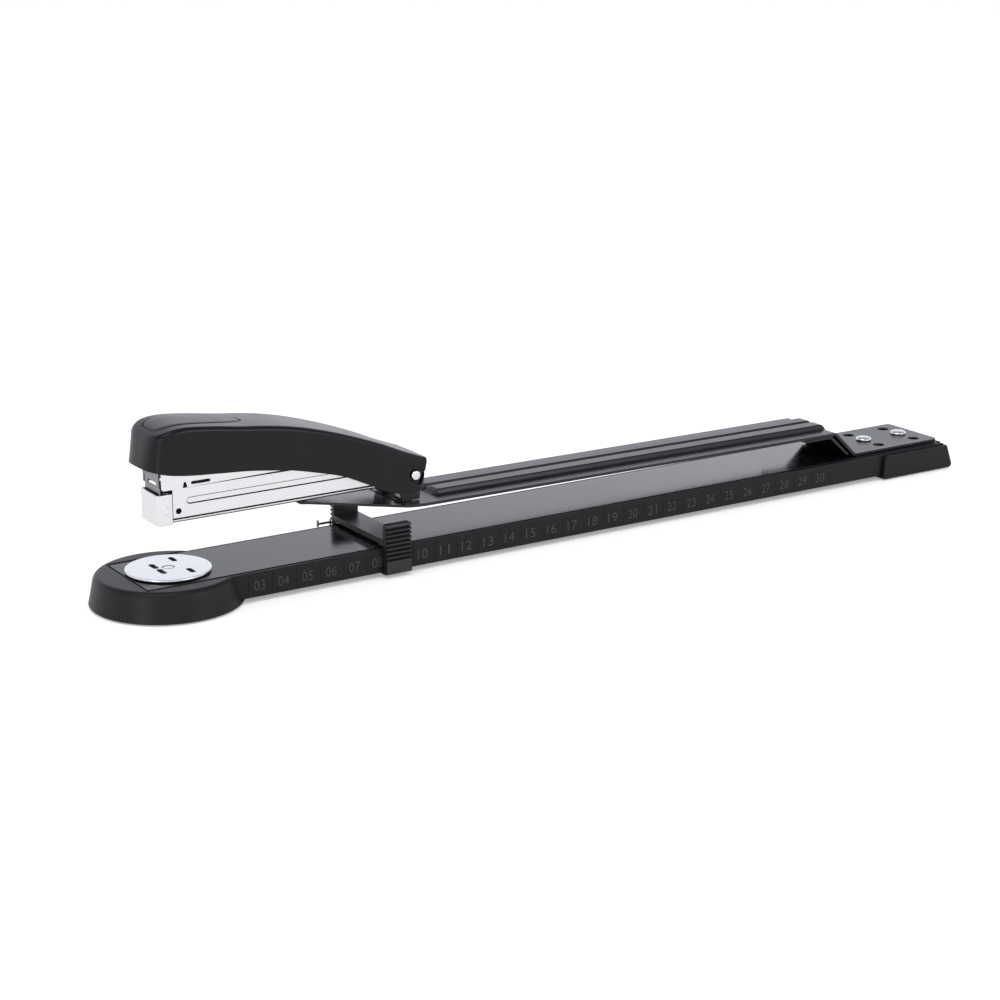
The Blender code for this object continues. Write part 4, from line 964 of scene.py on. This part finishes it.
def build_magazine():
    _, x1, y0, y1, z0, z1 = span("magazine_channel")
    py, pz = pin_spot()
    inner = x1 - BRIGHT_SHEET
    outline = mirrored([(inner, z0 + 0.7), (inner, z1), (x1, z1), (x1, z0)])
    radii = [0.3, 0, 0, 1.0, 1.0, 0, 0, 0.3]
    body = prism("magazine_shell", "cross", fillet(outline, radii, 6), y0, y1)
    rear = [(py - 17, z1 + 4), (py - 17, z1), (py - 6, pz + 3.6), (py + 4.4, pz + 3.4),
            (py + 8, pz + 3.4), (py + 8, z1 + 4)]
    carve(body, cutter("side", rear))
    start, stop = 5.3, py - 14
    steps = ((-0.46, -0.62), (-0.42, -0.5), (-0.08, 0.06), (0.04, 0.2), (1.0, 0.3))
    for side in (-1, 1):
        carve(body, stadium(lambda u, v, out: (side * (x1 + out), u, v),
                            ((start + stop) / 2, z0 + 7.7), (stop - start, 2.5), steps,
                            12))
    carve(body, drill(PIN_BORE, -ACROSS, ACROSS, (0, py, pz), "X"))
    mark = span("magazine_cross_pin")
    spot = (0, (mark[2] + mark[3]) / 2, z0 + 4.3)
    for side in (-1, 1):
        dimple = [(0, x1 - 0.5), (1.1, x1 - 0.5), (1.25, x1 + 2), (0, x1 + 2)]
        carve(body, lathe("tool", [(a, side * b) for a, b in dimple], spot, "X", 40))
        seam = [(side * (x1 - 0.35), z0 + 1.2), (side * (x1 - 0.35), z0 + 1.75),
                (side * (x1 + 1), z0 + 2.0), (side * (x1 + 1), z0 + 0.95)]
        carve(body, cutter("cross", seam, y0 - 1, y1 + 1))
    for label in ("Nickel Plate", "Slot Steel", "Dark Hole"):
        body.data.materials.append(finish(label))
    # Seam and bead-groove faces take the dark steel as painted shade.
    for poly in body.data.polygons:
        out = abs(poly.center.x)
        slanted = abs(poly.normal.x) < 0.93 and x1 - 0.47 < out < x1 - 0.02
        painted_seam_shade = x1 - 0.4 < out < x1 - 0.02 and z0 + 0.9 < poly.center.z < z0 + 2.1
        painted_groove_shade = slanted and z0 + 2.1 < poly.center.z < z0 + 10.0
        if (painted_seam_shade or painted_groove_shade) and poly.center.y > y0 + 0.1:
            poly.material_index = 1
        # The dimple over the cross pin is painted near-black as painted shade.
        gap = math.hypot(poly.center.y - spot[1], poly.center.z - spot[2])
        if gap < 1.3 and x1 - 0.55 < out < x1 - 0.02:
            poly.material_index = 2
    round_edges(body, 0.1, 2, 60)
    settle(body, "magazine", finish("Nickel Plate"), ["magazine_channel"],
           sharp=30)

    x0, x1, y0, y1, z0, z1 = span("nose_cap")
    plan = fillet([(x0, y1), (x0, y0), (x1, y0), (x1, y1)], (0, 1.3, 1.3, 0), 8)
    cap = prism("nose_cover", "plan", plan, z0, z1)
    round_edges(cap, 0.3, 3, 60)
    inner = x1 - 0.65
    hollow = rect(-inner, inner, y0 + 0.6, y1 + 4)
    carve(cap, cutter("plan", hollow, z0 + 0.7, z1 + 4))
    way_out = rect(-6.3, 6.3, -6.05, -4.75)
    carve(cap, cutter("plan", way_out, z0 - 2, z0 + 2))
    middle = (z0 + 5.8, (y0 + y1) / 2 + 0.45)
    raised = ((-0.3, 0.2), (0.0, 0.12), (0.1, -0.05), (0.13, -0.2))
    sunk = ((-0.02, -0.3), (0.05, -0.1), (0.2, 0.1))
    for side in (-1, 1):
        for size, steps, operation in (((3.4, 1.8), raised, "UNION"),
                                       ((2.5, 0.9), sunk, "DIFFERENCE")):
            oval = stadium(lambda u, v, out: (side * (x1 + out), v, u), middle, size,
                           steps, 8)
            carve(cap, oval, operation=operation)
    settle(cap, "magazine", finish("Nickel Plate"), ["nose_cap"], sharp=28)


COVER_TOP = ((-13.0, 61.0), (-11.2, 62.6), (-9.6, 63.9), (-7.6, 65.3), (-5.2, 66.5),
             (-2.4, 67.4), (0.8, 67.9), (4.0, 68.0), (8.8, 67.65), (16.8, 66.7),
             (26.1, 65.35), (36.6, 64.1), (46.4, 62.5), (57.2, 59.9), (67.3, 56.8),
             (78.3, 52.9), (88.3, 48.8), (99.3, 43.5), (103.0, 41.8))
COVER_LOW = ((-13.0, 53.4), (-11.3, 53.1), (-3.0, 51.4), (4.0, 50.4), (15.8, 49.5),
             (27.9, 48.6), (35.7, 47.6), (44.3, 46.4), (56.3, 43.6), (66.5, 40.7),
             (77.2, 35.9), (84.0, 32.7), (90.0, 30.3), (94.0, 29.1), (97.0, 29.1),
             (99.2, 30.2), (100.6, 31.7), (101.5, 33.8))


def cover_columns(half):
    """Stations around the cover, rear left to nose to rear right."""
    ys = [101.5, 101.1, 100.5, 99.7, 98.8, 97.6, 96.2, 94.6, 92.6, 90.2]
    ys += [87.5 - 3.0 * k for k in range(30)]
    ys = [y for y in ys if y > -0.9]
    left = [(-half, y, 0.0) for y in ys]
    nose = []
    for k in range(41):
        a = math.pi * (k / 40 - 0.5)
        s, c = math.sin(a), math.cos(a)
        n = 2 / 2.9
        nose.append((half * math.copysign(abs(s) ** n, s), -1.5 - 9.4 * abs(c) ** n,
                     abs(c)))
    return left + nose + [(half, y, 0.0) for y in reversed(ys)]


def pad_outline(count, grow=0.0):
    """Pointed oval of the thumb pad, blunt at the nose."""
    x0, x1, y0, y1, _, _ = span("handle_pad")
    y0, y1, half = y0 - grow, y1 + grow, x1 + grow
    right = []
    for k in range(count + 1):
        u = k / count
        y = y0 + (y1 - y0) * (1 - math.cos(math.pi * u)) / 2
        wave = math.sin(math.pi * u ** 0.62)
        right.append((half * max(0.0, wave) ** 0.62 if 0 < k < count else 0.0, y))
    return right + [(-w, y) for w, y in reversed(right[1:-1])]


def build_cover():
    half = span("handle_cover")[1]
    r = sizes().cover_edge / MM
    py, pz = pin_spot()
    columns = cover_columns(half)
    rows = []
    wall = [0.0, 0.04, 0.12, 0.25, 0.4, 0.55, 0.7, 0.85, 1.0]
    arc = [k / 9 for k in range(1, 10)]
    inward = [0.12, 0.3, 0.5, 0.7, 0.88, 1.0]

    def lean(y, z):
        return y + max(0.0, (z - 33.0) / 8.5) * 2.0 * max(0.0, (y - 90) / 11.5) ** 2

    for kind, values in (("wall", wall), ("arc", arc), ("top", inward)):
        for value in values:
            row = []
            for x, y, nose in columns:
                spine = Vector((0.0, max(y, 3.0)))
                edge = Vector((x, y))
                way = (spine - edge).normalized()
                draft = 0.3 + 1.4 * nose
                z_low = smooth_line(COVER_LOW, y)
                if kind == "wall":
                    point = edge + way * draft * value
                    z = z_low + (smooth_line(COVER_TOP, point.y) - r - z_low) * value
                elif kind == "arc":
                    a = value * math.pi / 2
                    point = edge + way * (draft + r * (1 - math.cos(a)))
                    z = smooth_line(COVER_TOP, point.y) - r * (1 - math.sin(a))
                else:
                    start = edge + way * (draft + r)
                    point = start.lerp(spine, value)
                    z = smooth_line(COVER_TOP, point.y) + 0.15 * value * (2 - value)
                row.append((point.x, lean(point.y, z), z))
            rows.append(row)
    cover = sheet_grid("cover_shell", rows, up=Vector((0, 0, 1)))
    thicken(cover, COVER_WALL)

    rings = []
    for drop, grow in ((-1.0, 0.3), (-0.3, 0.32), (0.0, 0.5), (0.35, 1.0), (2.5, 1.2)):
        rings.append([(x, y, smooth_line(COVER_TOP, y) + 0.15 + drop)
                      for x, y in pad_outline(40, grow)])
    carve(cover, rings_solid("tool", rings))
    for side in (-1, 1):
        turn = math.radians(-24.0)
        rings = []
        for depth, grow in ((1.15, -0.1), (0.3, 0.0), (0.0, 0.45), (-1.0, 0.9)):
            c, d = 3.4 + grow, 3.0 + grow
            square = [(py + u * math.cos(turn) - v * math.sin(turn),
                       pz + u * math.sin(turn) + v * math.cos(turn))
                      for u, v in ((-c, -d), (c, -d), (c, d), (-c, d))]
            rings.append([(side * (half - depth), u, v)
                          for u, v in fillet(square, (0.7 + grow / 2,) * 4, 6)])
        carve(cover, rings_solid("tool", rings))
        bore = [(0, half - 4), (PIN_BORE, half - 4), (PIN_BORE, half + 2), (0, half + 2)]
        carve(cover, lathe("tool", [(a, side * b) for a, b in bore], (0, py, pz), "X", 40))
    settle(cover, "handle", finish("Cover Plastic"), ["handle_cover"],
           sharp=34)

    outline = pad_outline(40)
    middle = 12.0                        # where the crowned rings shrink towards
    rings = []
    for lift, shrink in ((-0.75, 1.0), (-0.1, 1.0), (0.12, 0.99), (0.26, 0.965),
                         (0.34, 0.92), (0.42, 0.8), (0.48, 0.6), (0.52, 0.35),
                         (0.54, 0.1)):
        ring = []
        for x, y in outline:
            v = middle + (y - middle) * shrink
            ring.append((x * shrink, v, smooth_line(COVER_TOP, v) + lift))
        rings.append(ring)
    pad = rings_solid("thumb_pad", rings)
    settle(pad, "handle", finish("Pad Plastic"), ["handle_pad"], sharp=40)


def build_frame():
    x0, x1, _, _, _, z1 = span("handle_frame")
    py, pz = pin_spot()
    mag_top = span("magazine_channel")[5]
    inner = x1 - BRIGHT_SHEET
    drop = smooth_line(COVER_TOP, py - 20) - 2.8
    side = [(-4.9, mag_top + 0.3), (42.0, mag_top + 1.1), (58.0, mag_top + 1.4),
            (py - 14, pz + 1.0), (py - 4.4, pz - 3.0), (py, pz - 4.3), (py + 3.2, pz - 2.6),
            (py + 4.0, pz), (py + 2.6, pz + 3.4), (py - 4, pz + 5.6), (py - 20, drop),
            (40.0, z1), (-4.9, z1)]
    side = fillet(side, (0.8, 4, 4, 3, 2, 2, 1.5, 1.5, 1.5, 2, 6, 6, 1.5), 6)
    body = prism("handle_channel", "side", side, x0, x1)
    hollow = [(-12, 20), (py + 12, 20), (py + 12, pz + 7), (py - 4, pz + 4.9),
              (py - 20, drop - BRIGHT_SHEET), (40.0, z1 - BRIGHT_SHEET),
              (-12, z1 - BRIGHT_SHEET)]
    carve(body, cutter("side", hollow, -inner, inner))
    carve(body, drill(PIN_BORE, -ACROSS, ACROSS, (0, py, pz), "X"))
    carve(body, cutter("side", capsule(10.5, mag_top + 1.9, 7.8, 1.2)))
    notch = [(3.0, mag_top - 1), (5.6, mag_top - 1), (4.6, mag_top + 2.6),
             (3.8, mag_top + 2.6)]
    carve(body, cutter("side", fillet(notch, (0, 0, 0.3, 0.3), 3)))
    round_edges(body, 0.1, 2, 60)
    settle(body, "handle", finish("Nickel Plate"), ["handle_frame"], sharp=30)


# ---- carried-over nodes -------------------------------------------------------
CARRIED = {
    "Spring Steel": ("anvil_spring", "guide_spring", "return_spring", "pusher_spring",
                     "pusher_rod", "pusher", "staple_rail"),
    "Nickel Plate": ("guide_pointer",),
    "Blade Steel": ("driver_blade",),
    "Slot Steel": ("magazine_cross_pin",),
    "Arm Enamel": ("arm_reinforcement", "hinge_ear_left", "hinge_ear_right",
                   "ear_rivet_left", "ear_rivet_right"),
    "Pad Rubber": ("front_pad_1", "front_pad_2", "front_pad_3", "rear_pad_1",
                   "rear_pad_2"),
    "Staple Wire": ("staple_strip",),
}


def dress_carried():
    for label, names in CARRIED.items():
        for name in names:
            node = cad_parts[name]
            if not node.material_slots:
                node.data.materials.append(finish(label))
            for holder in node.material_slots:
                holder.material = finish(label)


# ---- studio -------------------------------------------------------------------
def build_stage():
    scene = bpy.context.scene
    bm = bmesh.new()
    steps = 48
    turns = [2 * math.pi * k / steps for k in range(steps)]
    loops = [[bm.verts.new((radius * math.cos(a), radius * math.sin(a), 0.0))
              for a in turns] for radius in (0.5, 2.0, 6.0, 9.0)]      # metres
    bm.faces.new(loops[0])
    for a, b in zip(loops, loops[1:]):
        for k in range(steps):
            n = (k + 1) % steps
            bm.faces.new((a[k], a[n], b[n], b[k]))
    floor = from_bmesh("studio_floor", bm)
    mat, tree, shader = start_material("Studio Floor", specular=0.2)
    mottled = noise(tree, object_place(tree), 6.0, 2.0)
    base = tuple(finishes().floor)
    tree.links.new(blend_colour(tree, mottled, tuple(c * 0.985 for c in base), base),
                   shader.inputs["Base Color"])
    shader.inputs["Roughness"].default_value = 0.8
    seen = tree.nodes.new("ShaderNodeLightPath").outputs["Is Camera Ray"]
    shader.inputs["Emission Color"].default_value = (1.0, 1.0, 1.0, 1.0)
    tree.links.new(calc(tree, "MULTIPLY", seen, 0.30), shader.inputs["Emission Strength"])
    floor.data.materials.append(mat)

    world = bpy.data.worlds.new("Studio Light")
    scene.world = world
    world.use_nodes = True
    tree = world.node_tree
    shine = tree.nodes["Background"]
    facing = tree.nodes.new("ShaderNodeTexCoord").outputs["Generated"]
    parts = tree.nodes.new("ShaderNodeSeparateXYZ")
    tree.links.new(facing, parts.inputs[0])
    ramp = tree.nodes.new("ShaderNodeValToRGB")
    tree.links.new(parts.outputs["Z"], ramp.inputs["Fac"])
    stops = ((0.0, (1.06, 1.09, 1.18)), (0.40, (1.0, 1.02, 1.10)),
             (0.62, (0.42, 0.43, 0.47)), (1.0, (0.30, 0.30, 0.33)))
    ramp.color_ramp.elements[0].position, ramp.color_ramp.elements[1].position = 0.0, 1.0
    for place, _ in stops[1:-1]:
        ramp.color_ramp.elements.new(place)
    for element, (_, tint) in zip(ramp.color_ramp.elements, stops):
        element.color = (*tint, 1.0)
    glossy = tree.nodes.new("ShaderNodeLightPath").outputs["Is Glossy Ray"]
    tree.links.new(blend_colour(tree, glossy, (0.92, 0.92, 0.93), ramp.outputs["Color"]),
                   shine.inputs["Color"])
    shine.inputs["Strength"].default_value = 1.0

    for name, place, aim, size, power in (
            ("key_softbox", (0.35, -0.55, 1.35), (0, -0.05, 0), (1.1, 0.9), 6.0),
            ("side_softbox", (1.25, 0.55, 0.55), (0, 0.05, 0.03), (0.5, 0.7), 2.5),
            ("nose_strip", (0.52, -1.05, 0.26), (0, -0.15, 0.05), (0.14, 0.5), 1.2)):
        light = bpy.data.lights.new(name, "AREA")
        light.shape = "RECTANGLE"
        light.size, light.size_y = size
        light.energy = power
        lamp = bpy.data.objects.new(name, light)
        scene.collection.objects.link(lamp)
        lamp.location = place
        lamp.rotation_euler = (Vector(aim) - Vector(place)).to_track_quat(
            "-Z", "Y").to_euler()

    camera = bpy.data.cameras.new("studio_camera")
    camera.sensor_width = 36.0
    camera.lens = 80.22
    camera.clip_start, camera.clip_end = 0.01, 50.0
    eye = bpy.data.objects.new("studio_camera", camera)
    scene.collection.objects.link(eye)
    eye.location = (0.72021, -0.32262 + CENTRE_Y, 0.26433)
    eye.rotation_euler = (math.radians(90 - 16.136), 0.0, math.radians(56.981))
    scene.camera = eye
    scene.view_settings.view_transform = "Standard"


# ---- operators ----------------------------------------------------------------
def operator(idname, label, doc, work):
    def execute(self, context):
        work()
        return {"FINISHED"}

    name = "STAPLER_OT_" + idname
    return type(name, (bpy.types.Operator,), {
        "__doc__": doc, "bl_idname": "stapler." + idname, "bl_label": label,
        "bl_options": {"REGISTER", "UNDO"}, "execute": execute})


OPERATORS = [
    operator("channel", "Ruled Channel", "Build the ruled base channel", build_channel),
    operator("plate", "Base Plate", "Build the painted base plate", build_plate),
    operator("feet", "Feet", "Build the front and rear foot", build_feet),
    operator("anvil", "Anvil", "Build the anvil disc and its rivet", build_anvil),
    operator("guide", "Paper Guide", "Build the sliding paper guide", build_guide),
    operator("arm", "Long Arm", "Build the beaded arm", build_arm),
    operator("tongue", "Spring Tongue", "Build the tongue under the head", build_tongue),
    operator("rivets", "Rivets", "Build the plate rivets and the hinge pin", build_rivets),
    operator("magazine", "Magazine", "Build the magazine and nose cap", build_magazine),
    operator("frame", "Handle Frame", "Build the steel frame in the handle", build_frame),
    operator("cover", "Handle Cover", "Build the cover and thumb pad", build_cover),
    operator("small", "Small Parts", "Give the carried-over pieces their finish",
             dress_carried),
    operator("stage", "Studio", "Build the floor, lights and camera", build_stage),
]


class STAPLER_PT_panel(bpy.types.Panel):
    """Sidebar panel with the sizes, finishes and builders."""

    bl_idname = "STAPLER_PT_panel"
    bl_label = "Long Reach Stapler"
    bl_space_type = "VIEW_3D"
    bl_region_type = "UI"
    bl_category = "Stapler"

    def draw(self, context):
        layout = self.layout
        for group in (context.scene.stapler_sizes, context.scene.stapler_finishes):
            box = layout.box()
            for name in group.__annotations__:
                box.prop(group, name)
        for cls in OPERATORS:
            layout.operator(cls.bl_idname)


CLASSES = [StaplerSizes, StaplerFinishes, *OPERATORS, STAPLER_PT_panel]


def register():
    for cls in CLASSES:
        bpy.utils.register_class(cls)
    bpy.types.Scene.stapler_sizes = PointerProperty(type=StaplerSizes)
    bpy.types.Scene.stapler_finishes = PointerProperty(type=StaplerFinishes)


def unregister():
    del bpy.types.Scene.stapler_finishes
    del bpy.types.Scene.stapler_sizes
    for cls in reversed(CLASSES):
        bpy.utils.unregister_class(cls)


def main():
    register()
    for cls in OPERATORS:
        group, name = cls.bl_idname.split(".")
        getattr(getattr(bpy.ops, group), name)()


if __name__ == "__main__":
    main()
